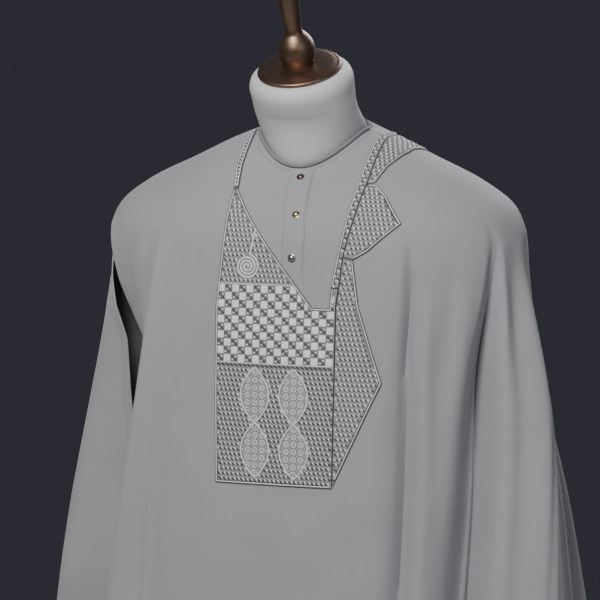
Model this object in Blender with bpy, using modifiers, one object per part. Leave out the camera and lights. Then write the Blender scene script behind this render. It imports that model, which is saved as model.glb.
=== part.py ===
"""Grand boubou robe on a limbless dress form: metres, +Z up, the front faces -Y, the floor is z = 0."""

import math
from collections import namedtuple

import bmesh
import bpy
import numpy as np

# Driving dimensions
WALL = 0.0015            # cloth wall
SEAM_GAP = 0.0003        # between pieces that touch
EMBROIDERY = 0.0010      # thickness of an embroidered piece
INSET_DEPTH = 0.0030     # the inset's outer face below the front's outer face
PLACKET_WALL = 0.0008
FORM_GAP = 0.0004        # between the form and the cloth that rests on it
INSET_GAP = 0.0010       # between the form and the inset
NAPE_GAP = 0.0030        # more room between the form and the back, right under the neck binding

Ring = namedtuple("Ring", "v half_width front back square z_front z_side z_back")
ROBE_RINGS = (
    Ring(0.00, 0.0705, 0.062, 0.055, 2.00, 1.416, 1.4600, 1.480),
    Ring(0.20, 0.1000, 0.084, 0.074, 2.05, 1.399, 1.4485, 1.466),
    Ring(0.50, 0.1500, 0.108, 0.100, 2.15, 1.374, 1.4250, 1.438),
    Ring(0.80, 0.2100, 0.123, 0.118, 2.30, 1.349, 1.3965, 1.402),
    Ring(1.00, 0.2430, 0.129, 0.125, 2.40, 1.328, 1.3725, 1.375),
    Ring(1.20, 0.2575, 0.132, 0.129, 2.45, 1.302, 1.3450, 1.345),
    Ring(1.50, 0.2660, 0.135, 0.133, 2.45, 1.260, 1.2900, 1.290),
    Ring(2.00, 0.2780, 0.140, 0.139, 2.40, 1.195, 1.2000, 1.200),
    Ring(3.00, 0.3170, 0.152, 0.155, 2.35, 1.000, 1.0000, 1.000),
    Ring(4.00, 0.3470, 0.166, 0.175, 2.30, 0.800, 0.8000, 0.800),
    Ring(5.00, 0.3780, 0.184, 0.198, 2.25, 0.600, 0.6000, 0.600),
    Ring(6.00, 0.4070, 0.208, 0.222, 2.20, 0.360, 0.3600, 0.360),
    Ring(7.00, 0.4320, 0.232, 0.246, 2.20, 0.120, 0.1200, 0.120),
)

# Angles in degrees from the front centre towards +X; depths in metres, out of the cloth; widths in degrees
Fold = namedtuple("Fold", "name high chest hem z_start z_full depth hem_depth width hem_width")
FRONT_FOLDS = (
    Fold("chest line", 36.5, 27.0, 22.5, 1.36, 1.10, -0.0130, -0.026, 3.4, 4.4),
    Fold("chest line lip", 41.0, 31.0, 27.0, 1.34, 1.05, 0.0055, 0.016, 2.6, 4.0),
    Fold("side roll", 48.5, 36.5, 31.0, 1.33, 1.00, 0.0060, 0.012, 4.5, 3.5),
    Fold("pleat slope", 58.0, 39.0, 31.5, 1.34, 1.08, -0.0100, -0.010, 4.0, 4.0),
    Fold("deep pleat", 64.0, 43.5, 35.5, 1.37, 1.14, -0.0360, -0.036, 4.2, 4.2),
    Fold("pleat lip", 70.0, 50.0, 41.5, 1.35, 1.12, 0.0125, 0.018, 4.4, 4.2),
    Fold("outer pleat", 82.0, 63.0, 54.0, 1.36, 1.12, 0.0340, 0.036, 7.5, 7.5),
    Fold("outer hollow", 92.0, 82.0, 66.0, 1.20, 0.90, -0.0030, -0.026, 5.0, 6.0),
    Fold("hem flute right", 75.0, 75.0, 78.0, 0.90, 0.30, 0.0100, 0.022, 6.5, 6.0),
    Fold("left lip", -35.5, -38.5, -33.0, 1.375, 1.16, 0.0070, 0.020, 4.5, 5.5),
    Fold("left hollow", -49.0, -47.0, -43.5, 1.375, 1.20, -0.0170, -0.024, 6.0, 5.0),
    Fold("left crease", -31.0, -28.5, -25.0, 1.12, 0.90, -0.0040, -0.022, 3.0, 4.2),
    Fold("left hem flute", -55.0, -57.0, -59.0, 0.80, 0.30, 0.0060, 0.022, 6.0, 6.0),
    Fold("centre flute left", -9.0, -10.0, -13.0, 0.90, 0.40, 0.0040, 0.018, 6.0, 5.0),
    Fold("centre hollow", 4.0, 3.0, 2.0, 0.95, 0.40, -0.0040, -0.018, 6.0, 5.5),
    Fold("centre flute right", 13.0, 12.0, 11.5, 0.90, 0.40, 0.0020, 0.012, 4.0, 4.0),
)
BACK_FOLDS = (
    Fold("back hollow", 180.0, 180.0, 180.0, 1.25, 0.80, -0.0060, -0.022, 8.0, 6.5),
    Fold("back flute left", 197.0, 196.0, 195.0, 1.25, 0.80, 0.0060, 0.022, 7.0, 6.0),
    Fold("back flute right", 163.0, 164.0, 165.0, 1.25, 0.80, 0.0060, 0.022, 7.0, 6.0),
    Fold("back hollow left", 217.0, 214.0, 210.0, 1.33, 0.90, -0.0110, -0.026, 6.0, 5.5),
    Fold("back hollow right", 143.0, 147.0, 150.0, 1.33, 0.90, -0.0110, -0.026, 6.0, 5.5),
    Fold("back roll left", 231.0, 228.0, 223.0, 1.33, 0.90, 0.0090, 0.024, 7.0, 6.0),
    Fold("back roll right", 129.0, 133.0, 137.0, 1.33, 0.90, 0.0090, 0.024, 7.0, 6.0),
    Fold("back pleat left", 244.0, 242.0, 236.0, 1.33, 1.00, -0.0160, -0.028, 5.5, 5.5),
    Fold("back pleat right", 116.0, 119.0, 124.0, 1.33, 1.00, -0.0160, -0.028, 5.5, 5.5),
    Fold("wing left", 258.0, 257.0, 251.0, 1.30, 1.00, 0.0080, 0.022, 7.0, 6.5),
    Fold("wing right", 102.0, 105.0, 110.0, 1.30, 1.00, 0.0080, 0.022, 7.0, 6.5),
)

FOLD_TIP = 0.5           # share of its width at which a fold starts
LEFT_LIP = next(fold for fold in FRONT_FOLDS if fold.name == "left lip")   # where the front turns in

# The free edges of front and back beside each arm opening: angle, and how far each edge lies inside the ring
Edge = namedtuple("Edge", "z front_angle front_inset back_angle back_inset")
LEFT_EDGES = (
    Edge(1.480, 90.0, 0.000, 90.0, 0.000),
    Edge(1.340, 90.0, 0.000, 90.0, 0.000),
    Edge(1.307, 79.0, 0.008, 81.0, 0.004),
    Edge(1.270, 67.0, 0.020, 68.0, 0.010),
    Edge(1.240, 63.0, 0.036, 64.0, 0.016),
    Edge(1.200, 60.0, 0.058, 60.5, 0.032),
    Edge(1.140, 56.0, 0.064, 58.0, 0.044),
    Edge(1.080, 54.0, 0.060, 57.0, 0.060),
    Edge(1.030, 54.0, 0.057, 56.0, 0.075),
    Edge(0.900, 48.0, 0.050, 50.0, 0.072),
    Edge(0.800, 52.0, 0.036, 54.0, 0.056),
    Edge(0.720, 60.0, 0.016, 63.0, 0.030),
    Edge(0.610, 74.0, 0.000, 74.0, 0.000),
    Edge(0.120, 76.0, 0.000, 76.0, 0.000),
)
RIGHT_EDGES = (
    Edge(1.480, 90.0, 0.000, 90.0, 0.000),
    Edge(1.340, 90.0, 0.000, 90.0, 0.000),
    Edge(1.307, 89.5, 0.000, 91.0, 0.006),
    Edge(1.270, 93.0, 0.000, 91.5, 0.014),
    Edge(1.200, 94.0, 0.000, 92.0, 0.020),
    Edge(1.110, 93.0, 0.000, 91.0, 0.026),
    Edge(1.030, 92.0, 0.002, 89.0, 0.031),
    Edge(0.900, 90.0, 0.006, 87.0, 0.036),
    Edge(0.800, 90.0, 0.004, 88.0, 0.028),
    Edge(0.720, 89.0, 0.002, 91.0, 0.012),
    Edge(0.610, 90.0, 0.000, 90.0, 0.000),
    Edge(0.120, 90.0, 0.000, 90.0, 0.000),
)
EDGE_REACH = math.radians(24.0)   # how far from a free edge its inset fades out


def soft_step(t):
    t = np.clip(t, 0.0, 1.0)
    return t * t * (3.0 - 2.0 * t)


def through(at, knots, values):
    """Smooth curve through one column of a table, with knots that rise."""
    knots, values = np.asarray(knots, float), np.asarray(values, float)
    slopes = np.gradient(values, knots)
    i = np.clip(np.searchsorted(knots, at, side="right") - 1, 0, len(knots) - 2)
    span = knots[i + 1] - knots[i]
    t = (at - knots[i]) / span
    keep = (1.0 + 2.0 * t) * (1.0 - t) ** 2 * values[i] + t * (1.0 - t) ** 2 * span * slopes[i]
    reach = t * t * (3.0 - 2.0 * t) * values[i + 1] + t * t * (t - 1.0) * span * slopes[i + 1]
    return keep + reach


def column(rows, name):
    return [getattr(row, name) for row in rows]


def ring_value(rows, name, v):
    return through(v, column(rows, "v"), column(rows, name))


def ring_point(rows, angle, v):
    """Point of the smooth body at an angle round from the front centre and a ring position v."""
    power = ring_value(rows, "square", v)
    side, ahead = np.sin(angle), np.cos(angle)
    scale = (np.abs(side) ** power + np.abs(ahead) ** power) ** (-1.0 / power)
    reach = np.where(ahead > 0.0, ring_value(rows, "front", v), ring_value(rows, "back", v))
    z_side = ring_value(rows, "z_side", v)
    z_end = np.where(ahead > 0.0, ring_value(rows, "z_front", v), ring_value(rows, "z_back", v))
    x = ring_value(rows, "half_width", v) * scale * side
    y = -reach * scale * ahead
    return np.stack([x, y, z_side + (z_end - z_side) * ahead ** 2], axis=-1)


def edge_value(edges, name, z):
    z_up = column(edges, "z")[::-1]
    return np.interp(z, z_up, column(edges, name)[::-1])


def fold_values(fold, z):
    """A fold's angle, depth and width at height z."""
    centre = through(np.clip(z, 0.12, 1.34), [0.12, 0.95, 1.34], [fold.hem, fold.chest, fold.high])
    grow = soft_step((fold.z_start - z) / (fold.z_start - fold.z_full))
    low = soft_step((fold.z_full - z) / (fold.z_full - 0.12))
    depth = grow * (fold.depth + (fold.hem_depth - fold.depth) * low)
    width = (fold.width + (fold.hem_width - fold.width) * low) * (FOLD_TIP + (1.0 - FOLD_TIP) * grow)
    return np.radians(centre), depth, np.radians(width)


def outward(rows, angle, v):
    """Level unit vector out of the ring."""
    step = 1e-3
    along = ring_point(rows, angle + step, v) - ring_point(rows, angle - step, v)
    normal = np.stack([-along[..., 1], along[..., 0], 0.0 * along[..., 0]], axis=-1) * -1.0
    return normal / np.linalg.norm(normal, axis=-1, keepdims=True)


def robe_point(angle, v, layer):
    """Outer face of the robe. layer is "front" or "back": the two part company at the arm openings."""
    angle, v = np.broadcast_arrays(np.asarray(angle, float), np.asarray(v, float))
    point = ring_point(ROBE_RINGS, angle, v)
    out = outward(ROBE_RINGS, angle, v)
    z = point[..., 2]
    move = np.zeros(angle.shape)
    for fold in FRONT_FOLDS if layer == "front" else BACK_FOLDS:
        centre, depth, width = fold_values(fold, z)
        move = move + depth * np.exp(-((angle - centre) / width) ** 2)
    if layer == "front":
        left = -np.radians(edge_value(LEFT_EDGES, "front_angle", z))
        right = np.radians(edge_value(RIGHT_EDGES, "front_angle", z))
        left_in, right_in = (edge_value(e, "front_inset", z) for e in (LEFT_EDGES, RIGHT_EDGES))
        from_left, from_right = angle - left, right - angle
        lip = fold_values(LEFT_LIP, z)[0]
        left_fade = 1.0 - np.clip(from_left / (lip - left), 0.0, 1.0)
    else:
        left = 2.0 * math.pi - np.radians(edge_value(LEFT_EDGES, "back_angle", z))
        right = np.radians(edge_value(RIGHT_EDGES, "back_angle", z))
        left_in, right_in = (edge_value(e, "back_inset", z) for e in (LEFT_EDGES, RIGHT_EDGES))
        from_left, from_right = left - angle, angle - right
        left_fade = 1.0 - soft_step(from_left / EDGE_REACH)
    move = move - left_in * left_fade
    move = move - right_in * (1.0 - soft_step(from_right / EDGE_REACH))
    return point + out * move[..., None]


def normals_of(point_at, angle, v):
    """Unit normals out of a surface of angle and v."""
    step = 2e-3
    across = point_at(angle + step, v) - point_at(angle - step, v)
    down = point_at(angle, v + step) - point_at(angle, np.maximum(v - step, 0.0))
    normal = np.cross(down, across)
    return normal / np.linalg.norm(normal, axis=-1, keepdims=True)


def robe_normals(angle, v, layer, seam_share):
    """Normals of one panel, turned towards the plain ring's where seam_share nears 1."""
    own = normals_of(lambda a, b: robe_point(a, b, layer), angle, v)
    plain = normals_of(lambda a, b: ring_point(ROBE_RINGS, a, b), angle, v)
    mixed = own + (plain - own) * seam_share[..., None]
    return mixed / np.linalg.norm(mixed, axis=-1, keepdims=True)


# Grid of the cloth: shares of the way from the left free edge to the right one, and ring positions.
# The grid of the front follows its folds: at these shares its columns run down the folds named here.
GUIDES = ((0.20, "left lip"), (0.45, "front centre"), (0.62, "chest line"), (0.80, "deep pleat"))
FRONT_COLUMNS = np.concatenate([
    np.linspace(0.00, 0.20, 9, endpoint=False),
    np.linspace(0.20, 0.62, 17, endpoint=False),
    np.linspace(0.62, 0.80, 12, endpoint=False),
    np.linspace(0.80, 1.00, 15),
])
FRONT_ROWS = (0.0, 0.07, 0.15, 0.27, 0.40, 0.54, 0.68, 0.82, 0.95, 1.08, 1.22, 1.40, 1.60, 1.85,
              2.15, 2.50, 2.90, 3.35, 3.85, 4.40, 5.00, 5.60, 6.30, 7.0)
BACK_COLUMNS = np.linspace(0.0, 1.0, 43)
BACK_ROWS = (0.0, 0.07, 0.15, 0.27, 0.40, 0.54, 0.68, 0.82, 0.95, 1.08, 1.22, 1.40, 1.60, 1.90,
             2.25, 2.70, 3.25, 3.85, 4.40, 5.00, 5.60, 6.30, 7.0)

# Outlines on the front seen square on, in metres: x and height
V_OPENING = ((-0.0695, 1.520), (-0.0675, 1.418), (-0.0630, 1.390), (0.0450, 1.257), (0.0650, 1.257),
             (0.0665, 1.281), (0.0770, 1.341), (0.0840, 1.403), (0.0860, 1.452), (0.0860, 1.520))
OUTLINES = {
    "strip_left": ((-0.0770, 1.480), (-0.0750, 1.416), (-0.0685, 1.3905), (-0.0634, 1.3905),
                   (-0.0679, 1.418), (-0.0700, 1.480)),
    "bib_block": ((-0.0685, 1.3900), (-0.0690, 1.336), (-0.0720, 1.299), (-0.0760, 1.258),
                  (-0.0750, 1.152), (-0.0720, 1.0470), (0.0730, 1.0480), (0.0730, 1.260),
                  (0.0756, 1.2805), (0.0668, 1.2805), (0.0654, 1.2566), (0.0448, 1.2566),
                  (-0.0633, 1.3900)),
    "bib_side": ((0.0734, 1.0484), (0.1290, 1.172), (0.1000, 1.261), (0.0920, 1.3135),
                 (0.0800, 1.3160), (0.0774, 1.290), (0.0734, 1.260)),
    "strip_right": ((0.0669, 1.2810), (0.0757, 1.2810), (0.0770, 1.290), (0.0797, 1.3165),
                    (0.0877, 1.357), (0.0935, 1.3985), (0.0958, 1.449), (0.0958, 1.490),
                    (0.0864, 1.490), (0.0864, 1.452), (0.0844, 1.403), (0.0774, 1.341)),
    "lapel": ((0.0801, 1.3164), (0.0921, 1.3139), (0.1080, 1.323), (0.1230, 1.337), (0.1437, 1.355),
              (0.1200, 1.385), (0.1060, 1.3967), (0.0939, 1.3980), (0.0881, 1.357)),
    "shoulder_piece": ((0.0939, 1.3985), (0.1026, 1.3995), (0.1115, 1.4176), (0.1230, 1.430),
                       (0.1330, 1.437), (0.1330, 1.490), (0.0962, 1.490), (0.0962, 1.449)),
}
INSET_OUTLINE = ((-0.0820, 1.520), (-0.0780, 1.418), (-0.0740, 1.386), (0.0350, 1.243), (0.0770, 1.243),
                 (0.0790, 1.281), (0.0890, 1.341), (0.0960, 1.403), (0.0980, 1.452), (0.0980, 1.520))
PLACKET_OUTLINE = ((-0.0070, 1.445), (-0.0054, 1.402), (0.0030, 1.347), (0.0040, 1.290), (0.0060, 1.243),
                   (0.0480, 1.243), (0.0480, 1.262), (0.0416, 1.267), (0.0340, 1.279), (0.0302, 1.291),
                   (0.0312, 1.340), (0.0234, 1.406), (0.0220, 1.445))
STUDS = ((0.0083, 1.4060), (0.0172, 1.3640), (0.0172, 1.3139))
STUD_RADIUS = 0.0047
STUD_GAP = 0.0005        # between a stud's flat back and the curved placket

# Dress form: rings of the neck (height on the axis, radius) and of the trunk below the shoulders
NECK_LEAN = math.radians(25.0)
NECK_TOP = (0.0, -0.0545, 1.5300)
NeckRing = namedtuple("NeckRing", "along radius_x radius_y")
NECK_RINGS = (
    NeckRing(0.0000, 0.0530, 0.0500),
    NeckRing(-0.0035, 0.0585, 0.0555),
    NeckRing(-0.0100, 0.0620, 0.0585),
    NeckRing(-0.0280, 0.0625, 0.0560),
    NeckRing(-0.0450, 0.0625, 0.0500),
)
TRUNK_RINGS = (
    Ring(0.0, 0.228, 0.1180, 0.1120, 2.40, 1.322, 1.352, 1.345),
    Ring(1.0, 0.212, 0.1180, 0.1130, 2.40, 1.295, 1.310, 1.300),
    Ring(2.0, 0.192, 0.1200, 0.1120, 2.35, 1.245, 1.245, 1.245),
    Ring(3.0, 0.176, 0.1180, 0.1020, 2.30, 1.160, 1.160, 1.160),
    Ring(4.0, 0.157, 0.1050, 0.0900, 2.20, 1.060, 1.060, 1.060),
    Ring(5.0, 0.156, 0.1040, 0.0960, 2.20, 0.970, 0.970, 0.970),
    Ring(6.0, 0.171, 0.1120, 0.1120, 2.20, 0.880, 0.880, 0.880),
    Ring(7.0, 0.174, 0.1120, 0.1150, 2.20, 0.815, 0.815, 0.815),
    Ring(7.3, 0.164, 0.1020, 0.1050, 2.20, 0.800, 0.800, 0.800),
)
FORM_BOTTOM = 0.800
POLE_RADIUS = 0.0125
BASE_RADIUS = 0.175
BASE_HEIGHT = 0.022

for stale in list(bpy.data.objects):
    bpy.data.objects.remove(stale, do_unlink=True)
robe_parts = bpy.data.collections.new("grand boubou on a dress form")
cutters = bpy.data.collections.new("cutters")
bpy.context.scene.collection.children.link(robe_parts)
bpy.context.scene.collection.children.link(cutters)
cutters.hide_render = True


def material(name, colour, roughness, metallic=0.0):
    made = bpy.data.materials.new(name)
    made.use_nodes = True
    shader = made.node_tree.nodes["Principled BSDF"]
    shader.inputs["Base Color"].default_value = (*colour, 1.0)
    shader.inputs["Roughness"].default_value = roughness
    shader.inputs["Metallic"].default_value = metallic
    return made


CLOTH = material("grey cloth", (0.315, 0.305, 0.320), 0.85)
THREAD = material("grey embroidery", (0.300, 0.295, 0.310), 0.65)
BOUND = material("neck binding", (0.240, 0.235, 0.250), 0.80)
STUD_METAL = material("stud metal", (0.450, 0.330, 0.180), 0.30, 1.0)
WHITE = material("matt white form", (0.620, 0.620, 0.630), 0.60)
BRONZE = material("bronze", (0.260, 0.135, 0.065), 0.32, 1.0)
STEEL = material("dark stand", (0.060, 0.060, 0.065), 0.45, 1.0)


def add_object(name, mesh, surface, collection=robe_parts, smooth=True):
    made = bpy.data.objects.new(name, mesh)
    collection.objects.link(made)
    mesh.materials.append(surface)
    for face in mesh.polygons:
        face.use_smooth = smooth
    if collection is cutters:
        made.hide_render = True
        made.display_type = "WIRE"
    return made


def mesh_of(name, points, faces):
    """Mesh with its faces turned outward."""
    mesh = bpy.data.meshes.new(name)
    mesh.from_pydata([tuple(p) for p in points], [], faces)
    shape = bmesh.new()
    shape.from_mesh(mesh)
    bmesh.ops.recalc_face_normals(shape, faces=shape.faces)
    if shape.calc_volume(signed=True) < 0.0:
        bmesh.ops.reverse_faces(shape, faces=shape.faces)
    shape.to_mesh(mesh)
    shape.free()
    return mesh


def grid_faces(rows, columns, start, flip):
    faces = []
    for i in range(rows - 1):
        for j in range(columns - 1):
            a = start + i * columns + j
            b, c, d = a + 1, a + columns + 1, a + columns
            near, far = (a, b, c), (a, c, d)
            faces += [near[::-1], far[::-1]] if flip else [near, far]
    return faces


def wall_mesh(name, outer, inner):
    """Closed wall between two grids of points."""
    rows, columns = outer.shape[:2]
    count = rows * columns
    points = np.concatenate([outer.reshape(-1, 3), inner.reshape(-1, 3)])
    faces = grid_faces(rows, columns, 0, False) + grid_faces(rows, columns, count, True)
    rim = [j for j in range(columns)]
    rim += [i * columns + columns - 1 for i in range(1, rows)]
    rim += [(rows - 1) * columns + j for j in range(columns - 2, -1, -1)]
    rim += [i * columns for i in range(rows - 2, 0, -1)]
    for a, b in zip(rim, rim[1:] + rim[:1]):
        faces.append((a, b, b + count))
        faces.append((a, b + count, a + count))
    return mesh_of(name, points, faces)


def cloth_grid(layer, columns, rows):
    """Outer points and normals of one panel, from free edge to free edge."""
    v = np.asarray(rows, float)[:, None] * np.ones((1, len(columns)))
    z = ring_value(ROBE_RINGS, "z_side", v)
    name = layer + "_angle"
    left, right = np.radians(edge_value(LEFT_EDGES, name, z)), np.radians(edge_value(RIGHT_EDGES, name, z))
    # Half the seam's gap is left on each side of a seam.
    trim = 0.5 * SEAM_GAP / np.maximum(ring_value(ROBE_RINGS, "half_width", v), 0.05)
    share = np.asarray(columns)[None, :]
    if layer == "front":
        by_name = {fold.name: fold_values(fold, z)[0] for fold in FRONT_FOLDS}
        by_name["front centre"] = 0.0 * z
        stops = [(0.0, -left + trim)] + [(at, by_name[guide]) for at, guide in GUIDES] + [(1.0, right - trim)]
        angle = np.zeros(v.shape)
        for (low, low_angle), (high, high_angle) in zip(stops, stops[1:]):
            t = (share - low) / (high - low)
            part = (t >= 0.0) & ((t < 1.0) | (high == 1.0))
            angle = np.where(part, low_angle + (high_angle - low_angle) * t, angle)
    else:
        angle = (right + trim) * (1.0 - share) + (2.0 * math.pi - left - trim) * share
    near_edge = np.minimum(share, 1.0 - share)
    seam_share = 1.0 - soft_step(near_edge / 0.03) + 0.0 * angle
    return robe_point(angle, v, layer), robe_normals(angle, v, layer, seam_share)


def layer_between(name, points, normals, high, low, surface):
    """Wall from high to low, both measured out of the front's outer face."""
    return add_object(name, wall_mesh(name, points + high * normals, points + low * normals), surface)


def prism(name, outline, front=-0.40, back=0.12):
    """Outline pulled through the front along Y, as a cutter."""
    count = len(outline)
    points = [(x, front, z) for x, z in outline] + [(x, back, z) for x, z in outline]
    faces = [tuple(range(count)), tuple(range(2 * count - 1, count - 1, -1))]
    for i in range(count):
        j = (i + 1) % count
        faces.append((i, i + count, j + count, j))
    return add_object(name, mesh_of(name, points, faces), CLOTH, cutters, smooth=False)


def trim_by(target, cutter, operation):
    cut = target.modifiers.new(cutter.name, "BOOLEAN")
    cut.operation = operation
    cut.solver = "EXACT"
    cut.object = cutter


# Front and back panels
front_points, front_normals = cloth_grid("front", FRONT_COLUMNS, FRONT_ROWS)
back_points, back_normals = cloth_grid("back", BACK_COLUMNS, BACK_ROWS)
robe_front = layer_between("robe_front", front_points, front_normals, 0.0, -WALL, CLOTH)
trim_by(robe_front, prism("v_cutter", V_OPENING), "DIFFERENCE")
robe_back = layer_between("robe_back", back_points, back_normals, 0.0, -WALL, CLOTH)


def front_part(first_row, last_row, first_share, last_share, step=1):
    """Part of the front's grid between two rows and two shares; step 2 takes every other column."""
    first, last = np.searchsorted(FRONT_COLUMNS, (first_share, last_share))
    window = (slice(first_row, last_row), slice(first, last + 1, step))
    return front_points[window], front_normals[window]


# Inset behind the V, and its button strip
lift = SEAM_GAP - INSET_DEPTH
behind_v = front_part(0, 14, 0.0, 1.0, 2)
inset = layer_between("inset_front", *behind_v, -INSET_DEPTH, -INSET_DEPTH - WALL, CLOTH)
trim_by(inset, prism("inset_cutter", INSET_OUTLINE), "INTERSECT")
placket = layer_between("placket", *behind_v, lift + PLACKET_WALL, lift, CLOTH)
trim_by(placket, prism("placket_cutter", PLACKET_OUTLINE), "INTERSECT")

# Embroidered pieces that lie on the front: rows and shares of the front's grid that hold each
WINDOWS = {
    "strip_left": (0, 11, 0.0, 0.40),
    "bib_block": (4, 18, 0.2, 0.62),
    "bib_side": (9, 18, 0.45, 0.80),
    "strip_right": (0, 14, 0.45, 1.0),
    "lapel": (3, 13, 0.45, 0.90),
    "shoulder_piece": (0, 9, 0.6, 1.0),
}
for name, outline in OUTLINES.items():
    piece = layer_between(name, *front_part(*WINDOWS[name]), SEAM_GAP + EMBROIDERY, SEAM_GAP, THREAD)
    trim_by(piece, prism(name + "_cutter", outline), "INTERSECT")


def front_spot(x, z, depth):
    """Point below the front's outer face at x and height z, and the way out of the cloth there."""
    angle, v = x / 0.25, 1.3
    for _ in range(40):
        here = robe_point(angle, v, "front")
        by_angle = (robe_point(angle + 1e-4, v, "front") - here) / 1e-4
        by_v = (robe_point(angle, v + 1e-4, "front") - here) / 1e-4
        slope = np.array([[by_angle[0], by_v[0]], [by_angle[2], by_v[2]]])
        move = np.linalg.solve(slope, np.array([x - here[0], z - here[2]]))
        angle, v = angle + 0.8 * move[0], max(v + 0.8 * move[1], 0.0)
    out = np.cross(by_v, by_angle)
    out /= np.linalg.norm(out)
    return here - depth * out, out


def turned(name, profile, surface, steps, where=(0.0, 0.0, 0.0), lean=0.0):
    """Round piece: a profile of radius and height, from the top down, turned about Z."""
    mesh = bpy.data.meshes.new(name)
    edges = [(i, i + 1) for i in range(len(profile) - 1)]
    mesh.from_pydata([(radius, 0.0, height) for radius, height in profile], edges, [])
    made = bpy.data.objects.new(name, mesh)
    robe_parts.objects.link(made)
    mesh.materials.append(surface)
    screw = made.modifiers.new("turn", "SCREW")
    screw.steps = screw.render_steps = steps
    screw.use_smooth_shade = True
    screw.use_merge_vertices = True
    screw.merge_threshold = 1e-5
    made.location = where
    made.rotation_euler = (lean, 0.0, 0.0)
    return made


def arc(radius_x, radius_z, centre, start, end, count):
    """Profile points round an ellipse about a centre of radius and height, angles in degrees."""
    turns = np.radians(np.linspace(start, end, count))
    return [(centre[0] + radius_x * math.cos(t), centre[1] + radius_z * math.sin(t)) for t in turns]


# Studs down the placket
for number, (x, z) in enumerate(STUDS, start=1):
    base, out = front_spot(x, z, -(lift + PLACKET_WALL + STUD_GAP))
    dome = [(0.0, 0.0034)] + arc(STUD_RADIUS * 0.8, 0.0024, (0.0, 0.0010), 75.0, 0.0, 3)
    dome += [(STUD_RADIUS, 0.0008), (STUD_RADIUS, 0.0), (0.0, 0.0)]
    stud = turned("stud_%d" % number, dome, STUD_METAL, 12, tuple(base))
    stud.rotation_mode = "QUATERNION"
    level = math.hypot(out[0], out[1])
    half = 0.5 * math.atan2(level, out[2])
    stud.rotation_quaternion = (math.cos(half), -out[1] / level * math.sin(half),
                                out[0] / level * math.sin(half), 0.0)

# Neck binding: a roll round the neck on the cloth's upper edges
BINDING_TURNS, BINDING_SIDES = 48, 6
BINDING_REACH, BINDING_RISE = 0.0024, 0.0023
BINDING_CLEAR = 0.0005    # how far the roll's underside stands off the cloth's upper edges
BINDING_IN = 0.0016       # how far its centre lies inside the front's outer face


def binding_frame(turn):
    """Centre of the roll at an angle round the neck, the way up the cloth and the way out of it."""
    layer = "front" if math.cos(turn) > 0.0 else "back"
    edge, lower = robe_point(turn, 0.0, layer), robe_point(turn, 0.05, layer)
    up = edge - lower
    up /= np.linalg.norm(up)
    side = np.array([math.sin(turn), -math.cos(turn), 0.0])
    out = side - up * np.dot(side, up)
    out /= np.linalg.norm(out)
    return edge + up * (BINDING_RISE + BINDING_CLEAR) - out * BINDING_IN, up, out


roll_points = []
for i in range(BINDING_TURNS):
    centre, up, out = binding_frame(2.0 * math.pi * i / BINDING_TURNS)
    for k in range(BINDING_SIDES):
        t = 2.0 * math.pi * k / BINDING_SIDES
        roll_points.append(centre + out * BINDING_REACH * math.cos(t) + up * BINDING_RISE * math.sin(t))
roll_faces = []
for i in range(BINDING_TURNS):
    for k in range(BINDING_SIDES):
        a = i * BINDING_SIDES + k
        b = i * BINDING_SIDES + (k + 1) % BINDING_SIDES
        step = BINDING_TURNS * BINDING_SIDES
        roll_faces.append((a, b, (b + BINDING_SIDES) % step, (a + BINDING_SIDES) % step))
add_object("neck_binding", mesh_of("neck_binding", roll_points, roll_faces), BOUND)

# Dress form
FORM_TURNS = 36
form_turn = 2.0 * math.pi * np.arange(FORM_TURNS) / FORM_TURNS
axis_up = np.array([0.0, -math.sin(NECK_LEAN), math.cos(NECK_LEAN)])
axis_ahead = np.array([0.0, -math.cos(NECK_LEAN), -math.sin(NECK_LEAN)])
form_rows = []
for ring in NECK_RINGS:
    centre = np.array(NECK_TOP) + ring.along * axis_up
    form_rows.append(centre + ring.radius_x * np.sin(form_turn)[:, None] * np.array([1.0, 0.0, 0.0])
                     + ring.radius_y * np.cos(form_turn)[:, None] * axis_ahead)
# Rows that pass inside and below the neck binding: how far up the cloth and how far out of it
for rise, reach in ((0.0030, 0.0), (0.0028, -0.0032), (0.0, -0.0036)):
    frames = [binding_frame(turn) for turn in form_turn]
    form_rows.append(np.array([centre + rise * up + reach * out for centre, up, out in frames]))
CLEARANCE = INSET_DEPTH + WALL + INSET_GAP
for v in (0.07, 0.15, 0.27, 0.40, 0.54, 0.68, 0.82, 0.95):
    row = []
    for turn in form_turn:
        layer = "front" if math.cos(turn) >= 0.0 else "back"
        here = robe_point(turn, v, layer)
        by_turn = robe_point(turn + 1e-3, v, layer) - robe_point(turn - 1e-3, v, layer)
        by_v = robe_point(turn, v + 1e-3, layer) - here
        out = np.cross(by_v, by_turn)
        out /= np.linalg.norm(out)
        behind_inset = soft_step((math.cos(turn) + 0.30) / 0.25)
        depth = WALL + FORM_GAP + (CLEARANCE - WALL - FORM_GAP) * behind_inset
        depth += NAPE_GAP * (1.0 - soft_step(v / 0.15)) * (1.0 - behind_inset)
        row.append(here - depth * out)
    form_rows.append(np.array(row))
for ring in TRUNK_RINGS:
    form_rows.append(ring_point(TRUNK_RINGS, form_turn, np.full(FORM_TURNS, ring.v)))
form_points = np.concatenate(form_rows)
form_faces = [tuple(range(FORM_TURNS))]
for i in range(len(form_rows) - 1):
    for j in range(FORM_TURNS):
        k = (j + 1) % FORM_TURNS
        form_faces.append((i * FORM_TURNS + j, i * FORM_TURNS + k, (i + 1) * FORM_TURNS + k,
                           (i + 1) * FORM_TURNS + j))
form_faces.append(tuple(range(len(form_points) - FORM_TURNS, len(form_points))))
form_body = add_object("form_body", mesh_of("form_body", form_points, form_faces), WHITE)

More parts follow.
